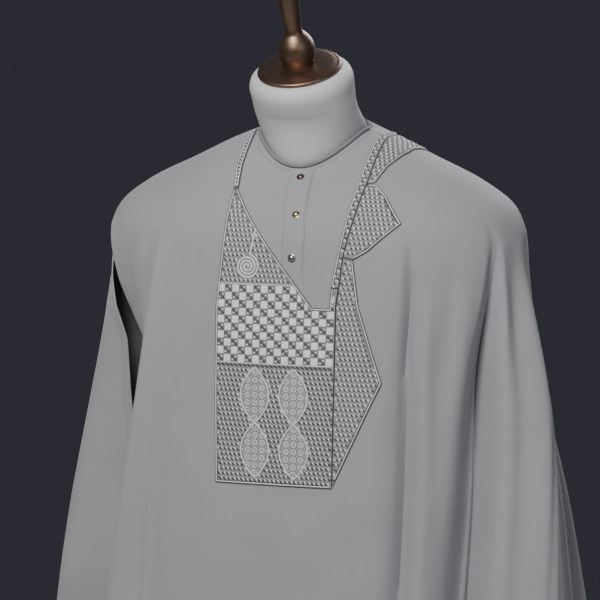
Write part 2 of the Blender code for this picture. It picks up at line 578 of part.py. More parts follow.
# Neck cap and finial, turned on the neck's leaning axis
cap_at = tuple(np.array(NECK_TOP) + SEAM_GAP * axis_up)
CAP_RADIUS, CAP_HEIGHT = 0.0505, 0.0085
cap_profile = [(0.0, CAP_HEIGHT), (0.0230, CAP_HEIGHT)]
cap_profile += [(0.0400, 0.0070)] + arc(0.0040, 0.0026, (CAP_RADIUS - 0.0040, 0.0028), 80.0, -60.0, 6)
cap_profile += [(0.0440, 0.0), (0.0, 0.0)]
turned("neck_cap", cap_profile, BRONZE, 24, cap_at, NECK_LEAN)
finial_at = tuple(np.array(NECK_TOP) + (2 * SEAM_GAP + CAP_HEIGHT) * axis_up)
finial_profile = [(0.0, 0.166)] + arc(0.0170, 0.0170, (0.0, 0.149), 75.0, -40.0, 6)
finial_profile += [(0.0105, 0.132), (0.0112, 0.128), (0.0130, 0.100), (0.0128, 0.085), (0.0112, 0.060)]
finial_profile += [(0.0102, 0.044), (0.0110, 0.041), (0.0165, 0.034), (0.0208, 0.026), (0.0222, 0.017)]
finial_profile += [(0.0212, 0.009), (0.0185, 0.003), (0.0190, 0.0), (0.0, 0.0)]
turned("finial", finial_profile, BRONZE, 14, finial_at, NECK_LEAN)

# Stand: pole and round base
base_profile = [(0.0, BASE_HEIGHT + 0.004), (0.030, BASE_HEIGHT + 0.004), (0.034, BASE_HEIGHT)]
base_profile += [(BASE_RADIUS - 0.030, 0.014), (BASE_RADIUS - 0.006, 0.010), (BASE_RADIUS, 0.006)]
base_profile += [(BASE_RADIUS, 0.002), (BASE_RADIUS - 0.002, 0.0), (0.0, 0.0)]
turned("stand_base", base_profile, STEEL, 28)
pole_low, pole_high = BASE_HEIGHT + 0.004 + SEAM_GAP, FORM_BOTTOM - SEAM_GAP
pole_profile = [(0.0, pole_high), (0.032, pole_high), (0.032, pole_high - 0.005), (0.018, pole_high - 0.012)]
pole_profile += [(POLE_RADIUS, pole_high - 0.030), (POLE_RADIUS, pole_low), (0.0, pole_low)]
turned("stand_pole", pole_profile, STEEL, 16)
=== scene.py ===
import math
from collections import namedtuple

import bpy
import numpy as np
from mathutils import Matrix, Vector
from mathutils.geometry import delaunay_2d_cdt


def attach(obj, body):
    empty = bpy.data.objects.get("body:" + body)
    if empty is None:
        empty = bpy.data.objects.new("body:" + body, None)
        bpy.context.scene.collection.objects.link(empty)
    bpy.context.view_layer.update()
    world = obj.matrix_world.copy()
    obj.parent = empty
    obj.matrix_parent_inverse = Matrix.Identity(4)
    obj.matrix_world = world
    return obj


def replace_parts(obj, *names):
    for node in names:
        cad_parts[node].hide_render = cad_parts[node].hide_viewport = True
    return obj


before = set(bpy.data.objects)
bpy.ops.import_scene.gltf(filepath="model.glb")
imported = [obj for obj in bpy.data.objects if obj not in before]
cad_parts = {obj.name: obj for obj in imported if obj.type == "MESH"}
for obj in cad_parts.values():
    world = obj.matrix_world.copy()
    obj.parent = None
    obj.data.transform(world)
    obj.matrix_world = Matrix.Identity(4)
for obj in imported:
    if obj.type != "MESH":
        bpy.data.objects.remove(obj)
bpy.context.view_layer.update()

# Driving dimensions
WALL = 0.0015            # cloth wall
SEAM_GAP = 0.0003        # between pieces that touch
EMBROIDERY = 0.0010      # thickness of an embroidered piece
INSET_DEPTH = 0.0030     # the inset's outer face below the front's outer face
PLACKET_WALL = 0.0008
FORM_GAP = 0.0004        # between the form and the cloth that rests on it
INSET_GAP = 0.0010       # between the form and the inset
NAPE_GAP = 0.0030        # more room between the form and the back, right under the neck binding
OVER_RIDGE = 0.020       # how far the right strip and shoulder piece run down the back
RIDGE_X = 0.07           # pieces further right than this run over the shoulder's ridge
TURNED_EDGE = 0.0022     # width of the turned edge round the V
HEM_UNDER = -0.0013      # its underside, from the front's outer face

Ring = namedtuple("Ring", "v half_width front back square z_front z_side z_back")
ROBE_RINGS = (
    Ring(0.00, 0.0705, 0.062, 0.055, 2.00, 1.416, 1.4600, 1.480),
    Ring(0.20, 0.1000, 0.084, 0.074, 2.05, 1.399, 1.4485, 1.466),
    Ring(0.50, 0.1500, 0.108, 0.100, 2.15, 1.374, 1.4250, 1.438),
    Ring(0.80, 0.2100, 0.123, 0.118, 2.30, 1.349, 1.3965, 1.402),
    Ring(1.00, 0.2430, 0.129, 0.125, 2.40, 1.328, 1.3725, 1.375),
    Ring(1.20, 0.2575, 0.132, 0.129, 2.45, 1.302, 1.3450, 1.345),
    Ring(1.50, 0.2660, 0.135, 0.133, 2.45, 1.260, 1.2900, 1.290),
    Ring(2.00, 0.2780, 0.140, 0.139, 2.40, 1.195, 1.2000, 1.200),
    Ring(3.00, 0.3170, 0.152, 0.155, 2.35, 1.000, 1.0000, 1.000),
    Ring(4.00, 0.3470, 0.166, 0.175, 2.30, 0.800, 0.8000, 0.800),
    Ring(5.00, 0.3780, 0.184, 0.198, 2.25, 0.600, 0.6000, 0.600),
    Ring(6.00, 0.4070, 0.208, 0.222, 2.20, 0.360, 0.3600, 0.360),
    Ring(7.00, 0.4320, 0.232, 0.246, 2.20, 0.120, 0.1200, 0.120),
)

# Angles in degrees from the front centre towards +X; depths in metres, out of the cloth; widths in degrees
Fold = namedtuple("Fold", "name high chest hem z_start z_full depth hem_depth width hem_width")
FRONT_FOLDS = (
    Fold("chest line", 36.5, 27.0, 22.5, 1.36, 1.10, -0.0130, -0.026, 3.4, 4.4),
    Fold("chest line lip", 41.0, 31.0, 27.0, 1.34, 1.05, 0.0055, 0.016, 2.6, 4.0),
    Fold("side roll", 48.5, 36.5, 31.0, 1.33, 1.00, 0.0060, 0.012, 4.5, 3.5),
    Fold("pleat slope", 58.0, 39.0, 31.5, 1.34, 1.08, -0.0100, -0.010, 4.0, 4.0),
    Fold("deep pleat", 64.0, 43.5, 35.5, 1.37, 1.14, -0.0360, -0.036, 4.2, 4.2),
    Fold("pleat lip", 70.0, 50.0, 41.5, 1.35, 1.12, 0.0125, 0.018, 4.4, 4.2),
    Fold("outer pleat", 82.0, 63.0, 54.0, 1.36, 1.12, 0.0340, 0.036, 7.5, 7.5),
    Fold("outer hollow", 92.0, 82.0, 66.0, 1.20, 0.90, -0.0030, -0.026, 5.0, 6.0),
    Fold("hem flute right", 75.0, 75.0, 78.0, 0.90, 0.30, 0.0100, 0.022, 6.5, 6.0),
    Fold("left lip", -35.5, -38.5, -33.0, 1.375, 1.16, 0.0070, 0.020, 4.5, 5.5),
    Fold("left hollow", -49.0, -47.0, -43.5, 1.375, 1.20, -0.0170, -0.024, 6.0, 5.0),
    Fold("left crease", -31.0, -28.5, -25.0, 1.12, 0.90, -0.0040, -0.022, 3.0, 4.2),
    Fold("left hem flute", -55.0, -57.0, -59.0, 0.80, 0.30, 0.0060, 0.022, 6.0, 6.0),
    Fold("centre flute left", -9.0, -10.0, -13.0, 0.90, 0.40, 0.0040, 0.018, 6.0, 5.0),
    Fold("centre hollow", 4.0, 3.0, 2.0, 0.95, 0.40, -0.0040, -0.018, 6.0, 5.5),
    Fold("centre flute right", 13.0, 12.0, 11.5, 0.90, 0.40, 0.0020, 0.012, 4.0, 4.0),
)
BACK_FOLDS = (
    Fold("back hollow", 180.0, 180.0, 180.0, 1.25, 0.80, -0.0060, -0.022, 8.0, 6.5),
    Fold("back flute left", 197.0, 196.0, 195.0, 1.25, 0.80, 0.0060, 0.022, 7.0, 6.0),
    Fold("back flute right", 163.0, 164.0, 165.0, 1.25, 0.80, 0.0060, 0.022, 7.0, 6.0),
    Fold("back hollow left", 217.0, 214.0, 210.0, 1.33, 0.90, -0.0110, -0.026, 6.0, 5.5),
    Fold("back hollow right", 143.0, 147.0, 150.0, 1.33, 0.90, -0.0110, -0.026, 6.0, 5.5),
    Fold("back roll left", 231.0, 228.0, 223.0, 1.33, 0.90, 0.0090, 0.024, 7.0, 6.0),
    Fold("back roll right", 129.0, 133.0, 137.0, 1.33, 0.90, 0.0090, 0.024, 7.0, 6.0),
    Fold("back pleat left", 244.0, 242.0, 236.0, 1.33, 1.00, -0.0160, -0.028, 5.5, 5.5),
    Fold("back pleat right", 116.0, 119.0, 124.0, 1.33, 1.00, -0.0160, -0.028, 5.5, 5.5),
    Fold("wing left", 258.0, 257.0, 251.0, 1.30, 1.00, 0.0080, 0.022, 7.0, 6.5),
    Fold("wing right", 102.0, 105.0, 110.0, 1.30, 1.00, 0.0080, 0.022, 7.0, 6.5),
)

FOLD_TIP = 0.5           # share of its width at which a fold starts
LEFT_LIP = next(fold for fold in FRONT_FOLDS if fold.name == "left lip")   # where the front turns in

# The free edges of front and back beside each arm opening: angle, and how far each edge lies inside the ring
Edge = namedtuple("Edge", "z front_angle front_inset back_angle back_inset")
LEFT_EDGES = (
    Edge(1.480, 90.0, 0.000, 90.0, 0.000),
    Edge(1.340, 90.0, 0.000, 90.0, 0.000),
    Edge(1.307, 79.0, 0.008, 81.0, 0.004),
    Edge(1.270, 67.0, 0.020, 68.0, 0.010),
    Edge(1.240, 63.0, 0.036, 64.0, 0.016),
    Edge(1.200, 60.0, 0.058, 60.5, 0.032),
    Edge(1.140, 56.0, 0.064, 58.0, 0.044),
    Edge(1.080, 54.0, 0.060, 57.0, 0.060),
    Edge(1.030, 54.0, 0.057, 56.0, 0.075),
    Edge(0.900, 48.0, 0.050, 50.0, 0.072),
    Edge(0.800, 52.0, 0.036, 54.0, 0.056),
    Edge(0.720, 60.0, 0.016, 63.0, 0.030),
    Edge(0.610, 74.0, 0.000, 74.0, 0.000),
    Edge(0.120, 76.0, 0.000, 76.0, 0.000),
)
RIGHT_EDGES = (
    Edge(1.480, 90.0, 0.000, 90.0, 0.000),
    Edge(1.340, 90.0, 0.000, 90.0, 0.000),
    Edge(1.307, 89.5, 0.000, 91.0, 0.006),
    Edge(1.270, 93.0, 0.000, 91.5, 0.014),
    Edge(1.200, 94.0, 0.000, 92.0, 0.020),
    Edge(1.110, 93.0, 0.000, 91.0, 0.026),
    Edge(1.030, 92.0, 0.002, 89.0, 0.031),
    Edge(0.900, 90.0, 0.006, 87.0, 0.036),
    Edge(0.800, 90.0, 0.004, 88.0, 0.028),
    Edge(0.720, 89.0, 0.002, 91.0, 0.012),
    Edge(0.610, 90.0, 0.000, 90.0, 0.000),
    Edge(0.120, 90.0, 0.000, 90.0, 0.000),
)
EDGE_REACH = math.radians(24.0)   # how far from a free edge its inset fades out

# Finer creases of the front, pressed into the thin cloth only
CREASES = (
    Fold("left lip crest", -35.0, -37.0, -33.0, 1.360, 1.25, 0.0045, 0.0050, 1.7, 1.9),
    Fold("left lip valley", -39.2, -41.0, -37.0, 1.365, 1.25, -0.0150, -0.0110, 3.0, 2.8),
    Fold("left crease edge", -31.5, -29.6, -26.0, 1.080, 0.95, 0.0026, 0.0056, 1.0, 1.3),
    Fold("left crease dip", -33.2, -31.4, -28.0, 1.080, 0.95, -0.0030, -0.0060, 1.4, 1.6),
    Fold("chest line edge", 35.6, 27.1, 22.9, 1.352, 1.29, -0.0100, -0.0150, 1.0, 1.0),
    Fold("chest line band", 47.5, 36.0, 30.5, 1.345, 1.15, -0.0080, -0.0120, 4.2, 3.4),
    Fold("chest line crest", 38.0, 24.2, 20.2, 1.352, 1.26, 0.0010, 0.0040, 1.6, 1.8),
    Fold("pleat edge", 66.0, 45.0, 36.8, 1.355, 1.14, -0.0200, -0.0400, 1.2, 1.4),
    Fold("pleat slope", 61.0, 41.2, 33.4, 1.300, 1.08, -0.0110, -0.0250, 3.2, 3.0),
    Fold("pleat crest", 68.8, 47.8, 39.6, 1.350, 1.22, 0.0036, 0.0060, 1.5, 1.5),
    Fold("outer lip edge", 86.5, 62.8, 55.0, 1.330, 1.20, -0.0036, -0.0060, 1.2, 1.3),
    Fold("drag line high", 24.0, 22.0, 20.0, 1.370, 1.25, 0.0012, 0.0000, 3.0, 3.0),
    Fold("drag line low", -20.0, -17.0, -16.0, 1.020, 0.80, -0.0016, -0.0050, 2.6, 3.4),
    Fold("drag line centre", 14.0, 11.0, 9.0, 0.980, 0.72, -0.0014, -0.0050, 2.6, 3.2),
)


def soft_step(t):
    t = np.clip(t, 0.0, 1.0)
    return t * t * (3.0 - 2.0 * t)


def through(at, knots, values):
    """Smooth curve through one column of a table, or through rows of points, with knots that rise."""
    knots, values = np.asarray(knots, float), np.asarray(values, float)
    slopes = np.gradient(values, knots, axis=0)
    i = np.clip(np.searchsorted(knots, at, side="right") - 1, 0, len(knots) - 2)
    each = (...,) + (None,) * (values.ndim - 1)
    span = (knots[i + 1] - knots[i])[each]
    t = np.asarray(at - knots[i])[each] / span
    keep = (1.0 + 2.0 * t) * (1.0 - t) ** 2 * values[i] + t * (1.0 - t) ** 2 * span * slopes[i]
    reach = t * t * (3.0 - 2.0 * t) * values[i + 1] + t * t * (t - 1.0) * span * slopes[i + 1]
    return keep + reach


def way_along(points, axis=0):
    """Distance along a path, or along the rows or columns of a grid, at each of its points."""
    steps = np.linalg.norm(np.diff(points, axis=axis), axis=-1)
    return np.insert(np.cumsum(steps, axis=axis), 0, 0.0, axis=axis)


def cell_middles(grid):
    return 0.25 * (grid[:-1, :-1] + grid[1:, :-1] + grid[:-1, 1:] + grid[1:, 1:])


def column(rows, name):
    return [getattr(row, name) for row in rows]


def ring_value(rows, name, v):
    return through(v, column(rows, "v"), column(rows, name))


def ring_point(rows, angle, v):
    """Point of the smooth body at an angle round from the front centre and a ring position v."""
    power = ring_value(rows, "square", v)
    side, ahead = np.sin(angle), np.cos(angle)
    scale = (np.abs(side) ** power + np.abs(ahead) ** power) ** (-1.0 / power)
    reach = np.where(ahead > 0.0, ring_value(rows, "front", v), ring_value(rows, "back", v))
    z_side = ring_value(rows, "z_side", v)
    z_end = np.where(ahead > 0.0, ring_value(rows, "z_front", v), ring_value(rows, "z_back", v))
    x = ring_value(rows, "half_width", v) * scale * side
    y = -reach * scale * ahead
    return np.stack([x, y, z_side + (z_end - z_side) * ahead ** 2], axis=-1)


def edge_value(edges, name, z):
    z_up = column(edges, "z")[::-1]
    return np.interp(z, z_up, column(edges, name)[::-1])


def fold_values(fold, z):
    """A fold's angle, depth and width at height z."""
    centre = through(np.clip(z, 0.12, 1.34), [0.12, 0.95, 1.34], [fold.hem, fold.chest, fold.high])
    grow = soft_step((fold.z_start - z) / (fold.z_start - fold.z_full))
    low = soft_step((fold.z_full - z) / (fold.z_full - 0.12))
    depth = grow * (fold.depth + (fold.hem_depth - fold.depth) * low)
    width = (fold.width + (fold.hem_width - fold.width) * low) * (FOLD_TIP + (1.0 - FOLD_TIP) * grow)
    return np.radians(centre), depth, np.radians(width)


def outward(rows, angle, v):
    """Level unit vector out of the ring."""
    step = 1e-3
    along = ring_point(rows, angle + step, v) - ring_point(rows, angle - step, v)
    normal = np.stack([along[..., 1], -along[..., 0], 0.0 * along[..., 0]], axis=-1)
    return normal / np.linalg.norm(normal, axis=-1, keepdims=True)


def robe_point(angle, v, layer):
    """Outer face of the robe. layer is "front" or "back": the two part company at the arm openings."""
    angle, v = np.broadcast_arrays(np.asarray(angle, float), np.asarray(v, float))
    point = ring_point(ROBE_RINGS, angle, v)
    out = outward(ROBE_RINGS, angle, v)
    z = point[..., 2]
    move = np.zeros(angle.shape)
    for fold in FRONT_FOLDS + CREASES if layer == "front" else BACK_FOLDS:
        centre, depth, width = fold_values(fold, z)
        move = move + depth * np.exp(-((angle - centre) / width) ** 2)
    if layer == "front":
        left = -np.radians(edge_value(LEFT_EDGES, "front_angle", z))
        right = np.radians(edge_value(RIGHT_EDGES, "front_angle", z))
        left_in, right_in = (edge_value(e, "front_inset", z) for e in (LEFT_EDGES, RIGHT_EDGES))
        from_left, from_right = angle - left, right - angle
        lip = fold_values(LEFT_LIP, z)[0]
        left_fade = 1.0 - np.clip(from_left / (lip - left), 0.0, 1.0)
    else:
        left = 2.0 * math.pi - np.radians(edge_value(LEFT_EDGES, "back_angle", z))
        right = np.radians(edge_value(RIGHT_EDGES, "back_angle", z))
        left_in, right_in = (edge_value(e, "back_inset", z) for e in (LEFT_EDGES, RIGHT_EDGES))
        from_left, from_right = left - angle, angle - right
        left_fade = 1.0 - soft_step(from_left / EDGE_REACH)
    move = move - left_in * left_fade
    move = move - right_in * (1.0 - soft_step(from_right / EDGE_REACH))
    return point + out * move[..., None]


def normals_of(point_at, angle, v):
    """Unit normals out of a surface of angle and v."""
    step = 2e-3
    across = point_at(angle + step, v) - point_at(angle - step, v)
    down = point_at(angle, v + step) - point_at(angle, np.maximum(v - step, 0.0))
    normal = np.cross(down, across)
    return normal / np.linalg.norm(normal, axis=-1, keepdims=True)


def robe_normals(angle, v, layer, seam_share):
    """Normals of one panel, turned towards the plain ring's where seam_share nears 1."""
    own = normals_of(lambda a, b: robe_point(a, b, layer), angle, v)
    plain = normals_of(lambda a, b: ring_point(ROBE_RINGS, a, b), angle, v)
    mixed = own + (plain - own) * seam_share[..., None]
    return mixed / np.linalg.norm(mixed, axis=-1, keepdims=True)


# Outlines on the front seen square on, in metres: x and height
V_OPENING = ((-0.0695, 1.520), (-0.0675, 1.418), (-0.0630, 1.390), (0.0450, 1.257), (0.0650, 1.257),
             (0.0665, 1.281), (0.0770, 1.341), (0.0840, 1.403), (0.0860, 1.452), (0.0860, 1.520))
OUTLINES = {
    "strip_left": ((-0.0770, 1.480), (-0.0750, 1.416), (-0.0685, 1.3905), (-0.0634, 1.3905),
                   (-0.0679, 1.418), (-0.0700, 1.480)),
    "bib_block": ((-0.0685, 1.3900), (-0.0690, 1.336), (-0.0720, 1.299), (-0.0760, 1.258),
                  (-0.0750, 1.152), (-0.0720, 1.0470), (0.0730, 1.0480), (0.0730, 1.260),
                  (0.0756, 1.2805), (0.0668, 1.2805), (0.0654, 1.2566), (0.0448, 1.2566),
                  (-0.0633, 1.3900)),
    "bib_side": ((0.0734, 1.0484), (0.1290, 1.172), (0.1000, 1.261), (0.0920, 1.3135),
                 (0.0800, 1.3160), (0.0774, 1.290), (0.0734, 1.260)),
    "strip_right": ((0.0669, 1.2810), (0.0757, 1.2810), (0.0770, 1.290), (0.0797, 1.3165),
                    (0.0877, 1.357), (0.0935, 1.3985), (0.0958, 1.449), (0.0958, 1.490),
                    (0.0864, 1.490), (0.0864, 1.452), (0.0844, 1.403), (0.0774, 1.341)),
    "lapel": ((0.0801, 1.3164), (0.0921, 1.3139), (0.1080, 1.323), (0.1230, 1.337), (0.1437, 1.355),
              (0.1200, 1.385), (0.1060, 1.3967), (0.0939, 1.3980), (0.0881, 1.357)),
    "shoulder_piece": ((0.0939, 1.3985), (0.1026, 1.3995), (0.1115, 1.4176), (0.1230, 1.430),
                       (0.1330, 1.437), (0.1330, 1.490), (0.0962, 1.490), (0.0962, 1.449)),
}
INSET_OUTLINE = ((-0.0820, 1.520), (-0.0780, 1.418), (-0.0740, 1.386), (0.0350, 1.243), (0.0770, 1.243),
                 (0.0790, 1.281), (0.0890, 1.341), (0.0960, 1.403), (0.0980, 1.452), (0.0980, 1.520))
PLACKET_OUTLINE = ((-0.0070, 1.445), (-0.0054, 1.402), (0.0030, 1.347), (0.0040, 1.290), (0.0060, 1.243),
                   (0.0480, 1.243), (0.0480, 1.262), (0.0416, 1.267), (0.0340, 1.279), (0.0302, 1.291),
                   (0.0312, 1.340), (0.0234, 1.406), (0.0220, 1.445))
STUDS = ((0.0083, 1.4060), (0.0172, 1.3640), (0.0172, 1.3139))
STUD_RADIUS = 0.0047
STUD_GAP = 0.0005        # between a stud's flat back and the curved placket

# Dress form: rings of the neck (height on the axis, radius) and of the trunk below the shoulders
NECK_LEAN = math.radians(25.0)
NECK_TOP = (0.0, -0.0545, 1.5300)
NeckRing = namedtuple("NeckRing", "along radius_x radius_y")
NECK_RINGS = (
    NeckRing(0.0000, 0.0530, 0.0500),
    NeckRing(-0.0035, 0.0585, 0.0555),
    NeckRing(-0.0100, 0.0620, 0.0585),
    NeckRing(-0.0280, 0.0625, 0.0560),
    NeckRing(-0.0450, 0.0625, 0.0500),
)
TRUNK_RINGS = (
    Ring(0.0, 0.228, 0.1180, 0.1120, 2.40, 1.322, 1.352, 1.345),
    Ring(1.0, 0.212, 0.1180, 0.1130, 2.40, 1.295, 1.310, 1.300),
    Ring(2.0, 0.192, 0.1200, 0.1120, 2.35, 1.245, 1.245, 1.245),
    Ring(3.0, 0.176, 0.1180, 0.1020, 2.30, 1.160, 1.160, 1.160),
    Ring(4.0, 0.157, 0.1050, 0.0900, 2.20, 1.060, 1.060, 1.060),
    Ring(5.0, 0.156, 0.1040, 0.0960, 2.20, 0.970, 0.970, 0.970),
    Ring(6.0, 0.171, 0.1120, 0.1120, 2.20, 0.880, 0.880, 0.880),
    Ring(7.0, 0.174, 0.1120, 0.1150, 2.20, 0.815, 0.815, 0.815),
    Ring(7.3, 0.164, 0.1020, 0.1050, 2.20, 0.800, 0.800, 0.800),
)
FORM_BOTTOM = 0.800
POLE_RADIUS = 0.0125
BASE_RADIUS = 0.175
BASE_HEIGHT = 0.022

# Where the front's columns of points run: their share of the width, and the fold that they follow
GUIDES = ((0.20, "left lip"), (0.45, "front centre"), (0.62, "chest line"), (0.80, "deep pleat"))


def both_layers(angle, v):
    """Outer face of the robe on both sides of the shoulder's ridge."""
    behind = (np.asarray(angle) > 0.5 * math.pi)[..., None]
    return np.where(behind, robe_point(angle, v, "back"), robe_point(angle, v, "front"))


# Charts of the front: x across, s up along the cloth, with s = 0 at the level of the bib's lower edge
class Chart:
    """Angle and ring position of a spot of the front, from its x and its way up along the cloth."""

    LOW_LEVEL = 1.05
    STEP = 0.002

    def __init__(self):
        self.x = np.arange(-0.092, 0.162, self.STEP)
        self.s = np.arange(-0.030, 0.580, self.STEP)
        rows = np.concatenate([np.arange(0.0, 1.2, 0.006), np.arange(1.2, 3.4, 0.02)])[::-1]
        turns = np.radians(np.linspace(-75.0, 89.7, 800))
        at = robe_point(turns[None, :], rows[:, None], "front")
        across = np.maximum.accumulate(at[..., 0], axis=1)
        rows_behind = np.arange(0.0, 1.2, 0.006)
        turns_behind = np.radians(np.linspace(180.0, 90.3, 500))
        behind = robe_point(turns_behind[None, :], rows_behind[:, None], "back")
        across_behind = np.maximum.accumulate(behind[..., 0], axis=1)
        self.angle, self.ring, self.level = (np.zeros((len(self.x), len(self.s))) for _ in range(3))
        for k, x in enumerate(self.x):
            on = (across[:, 0] < x) & (across[:, -1] > x)
            turn = np.array([np.interp(x, across[i], turns) for i in np.flatnonzero(on)])
            row = rows[on]
            if x > RIDGE_X:
                on = (across_behind[:, 0] < x) & (across_behind[:, -1] > x)
                beyond = [np.interp(x, across_behind[i], turns_behind) for i in np.flatnonzero(on)]
                turn = np.append(turn, beyond)
                row = np.append(row, rows_behind[on])
            here = both_layers(turn, row)
            way = way_along(here)
            way -= np.interp(self.LOW_LEVEL, here[:, 2], way)
            self.angle[k] = np.interp(self.s, way, turn)
            self.ring[k] = np.interp(self.s, way, row)
            self.level[k] = np.interp(self.s, way, here[:, 2])

    def read(self, table, x, s):
        a = np.clip((np.asarray(x) - self.x[0]) / self.STEP, 0.0, len(self.x) - 1.001)
        b = np.clip((np.asarray(s) - self.s[0]) / self.STEP, 0.0, len(self.s) - 1.001)
        i, j = a.astype(int), b.astype(int)
        u, w = a - i, b - j
        return ((table[i, j] * (1 - w) + table[i, j + 1] * w) * (1 - u)
                + (table[i + 1, j] * (1 - w) + table[i + 1, j + 1] * w) * u)

    def way_up(self, x, z):
        """s of a spot given by x and height. Heights above the shoulder's ridge stop at the ridge, and on
        the right at a little way down the back."""
        a = np.clip((x - self.x[0]) / self.STEP, 0.0, len(self.x) - 1.001)
        i, u = int(a), a - int(a)
        found = []
        for k in (i, i + 1):
            last = int(np.argmax(self.level[k] >= self.level[k].max() - 1e-9))
            over = OVER_RIDGE if z > self.level[k, last] and x > RIDGE_X else 0.0
            found.append(np.interp(z, self.level[k, :last + 1], self.s[:last + 1]) + over)
        return found[0] * (1 - u) + found[1] * u

    def on_cloth(self, x, s, high):
        """Points above the front's outer face, and the way out of the cloth at each."""
        turn, ring = self.read(self.angle, x, s), self.read(self.ring, x, s)
        out = normals_of(both_layers, turn, ring)
        return both_layers(turn, ring) + np.asarray(high)[..., None] * out, out


chart = Chart()


def resampled(path, pitch, closed=False):
    """Points along a path at an even pitch, with its corners kept."""
    path = [np.asarray(p, float) for p in path]
    ends = path[1:] + path[:1] if closed else path[1:]
    points = []
    for a, b in zip(path, ends):
        count = max(1, int(round(np.linalg.norm(b - a) / pitch)))
        points += [a + (b - a) * i / count for i in range(count)]
    return np.array(points if closed else points + [path[-1]])


def on_chart(spots):
    """Spots of x and height turned into x and s."""
    return np.array([(x, chart.way_up(x, z)) for x, z in spots])


def on_path(path, high):
    """Points above the front along a path of x and s, and the way out of the cloth at each."""
    return chart.on_cloth(path[:, 0], path[:, 1], np.full(len(path), high))


def charted(outline, closed=True):
    """Outline of x and height turned into x and s, with no two points closer than half a millimetre."""
    found = on_chart(resampled(outline, 0.004, closed))
    apart = np.linalg.norm(found - np.roll(found, 1, axis=0), axis=1) > 0.0005
    return found[apart]


def inside(points, outline):
    """Which points lie inside a closed outline."""
    x, y = points[..., 0], points[..., 1]
    found = np.zeros(x.shape, bool)
    for (ax, ay), (bx, by) in zip(outline, np.roll(outline, -1, axis=0)):
        crosses = (ay > y) != (by > y)
        at = ax + (y - ay) * (bx - ax) / (by - ay if by != ay else 1e-12)
        found ^= crosses & (x < at)
    return found


def distance_to(points, outline):
    """Distance of each point from a closed outline."""
    least = np.full(points.shape[:-1], 9.0)
    for a, b in zip(outline, np.roll(outline, -1, axis=0)):
        edge = b - a
        t = np.clip(((points - a) @ edge) / max(edge @ edge, 1e-12), 0.0, 1.0)
        least = np.minimum(least, np.linalg.norm(points - a - t[..., None] * edge, axis=-1))
    return least


def within(points, outline, margin):
    return inside(points, outline) & (distance_to(points, outline) >= margin)


def inset_line(outline, depth):
    """Closed line inside an outline, at an even distance from it."""
    area = np.sum(outline[:, 0] * np.roll(outline[:, 1], -1) - np.roll(outline[:, 0], -1) * outline[:, 1])
    before, after = np.roll(outline, 1, axis=0), np.roll(outline, -1, axis=0)
    ahead = (after - outline) / np.linalg.norm(after - outline, axis=1)[:, None]
    back = (outline - before) / np.linalg.norm(outline - before, axis=1)[:, None]
    turn = 1.0 if area > 0 else -1.0
    n1 = turn * np.stack([-back[:, 1], back[:, 0]], axis=1)
    n2 = turn * np.stack([-ahead[:, 1], ahead[:, 0]], axis=1)
    mitre = n1 + n2
    mitre /= np.maximum(np.sum(mitre * n1, axis=1), 0.35)[:, None]
    line = outline + depth * mitre
    kept = inside(line, outline) & (distance_to(line, outline) > 0.94 * depth)
    return resampled(line[kept], 0.0015, closed=True)


# Objects
def add_piece(name, points, faces, surface, uv=None, sharp=None):
    mesh = bpy.data.meshes.new(name)
    mesh.from_pydata(np.asarray(points).tolist(), [], [list(f) for f in faces])
    mesh.validate()
    if uv is not None:
        layer = mesh.uv_layers.new(name="cloth")
        corner = np.zeros(len(mesh.loops), np.int32)
        mesh.loops.foreach_get("vertex_index", corner)
        layer.data.foreach_set("uv", np.asarray(uv, np.float32)[corner].ravel())
    mesh.polygons.foreach_set("use_smooth", [True] * len(mesh.polygons))
    if sharp is not None:
        mesh.set_sharp_from_angle(angle=math.radians(sharp))
    mesh.materials.append(surface)
    made = bpy.data.objects.new(name, mesh)
    bpy.context.scene.collection.objects.link(made)
    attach(made, "root")
    return made


def rim_walls(faces, count):
    """Faces that join each free edge of one side of a sheet to the same edge of its other side."""
    p, q = faces.ravel(), np.roll(faces, -1, axis=1).ravel()
    free = ~np.isin(p * count + q, q * count + p)
    p, q = p[free], q[free]
    return np.stack([q, p, p + count, q + count], axis=1)


def shell(name, outer, inner, surface, kept=None):
    """Closed wall between two grids of points, less the cells that aren't kept."""
    rows, columns = outer.shape[:2]
    kept = np.ones((rows - 1, columns - 1), bool) if kept is None else kept
    index = np.arange(rows * columns).reshape(rows, columns)
    count = rows * columns
    a, b = index[:-1, :-1][kept], index[:-1, 1:][kept]
    c, d = index[1:, 1:][kept], index[1:, :-1][kept]
    faces = [np.stack([a, d, c, b], axis=1), np.stack([a, b, c, d], axis=1) + count]
    faces = np.concatenate(faces + [rim_walls(faces[0], count)])
    across = way_along(outer, axis=1)
    across -= across[:, columns // 2][:, None]
    uv = np.stack([across, way_along(outer, axis=0)], axis=-1).reshape(-1, 2)
    points = np.concatenate([outer.reshape(-1, 3), inner.reshape(-1, 3)])
    used, faces = np.unique(faces, return_inverse=True)
    faces = faces.reshape(-1, 4)
    return add_piece(name, points[used], faces, surface, np.concatenate([uv, uv])[used], sharp=60.0)


GRID_PITCH = 0.0028      # of the points inside a thin piece


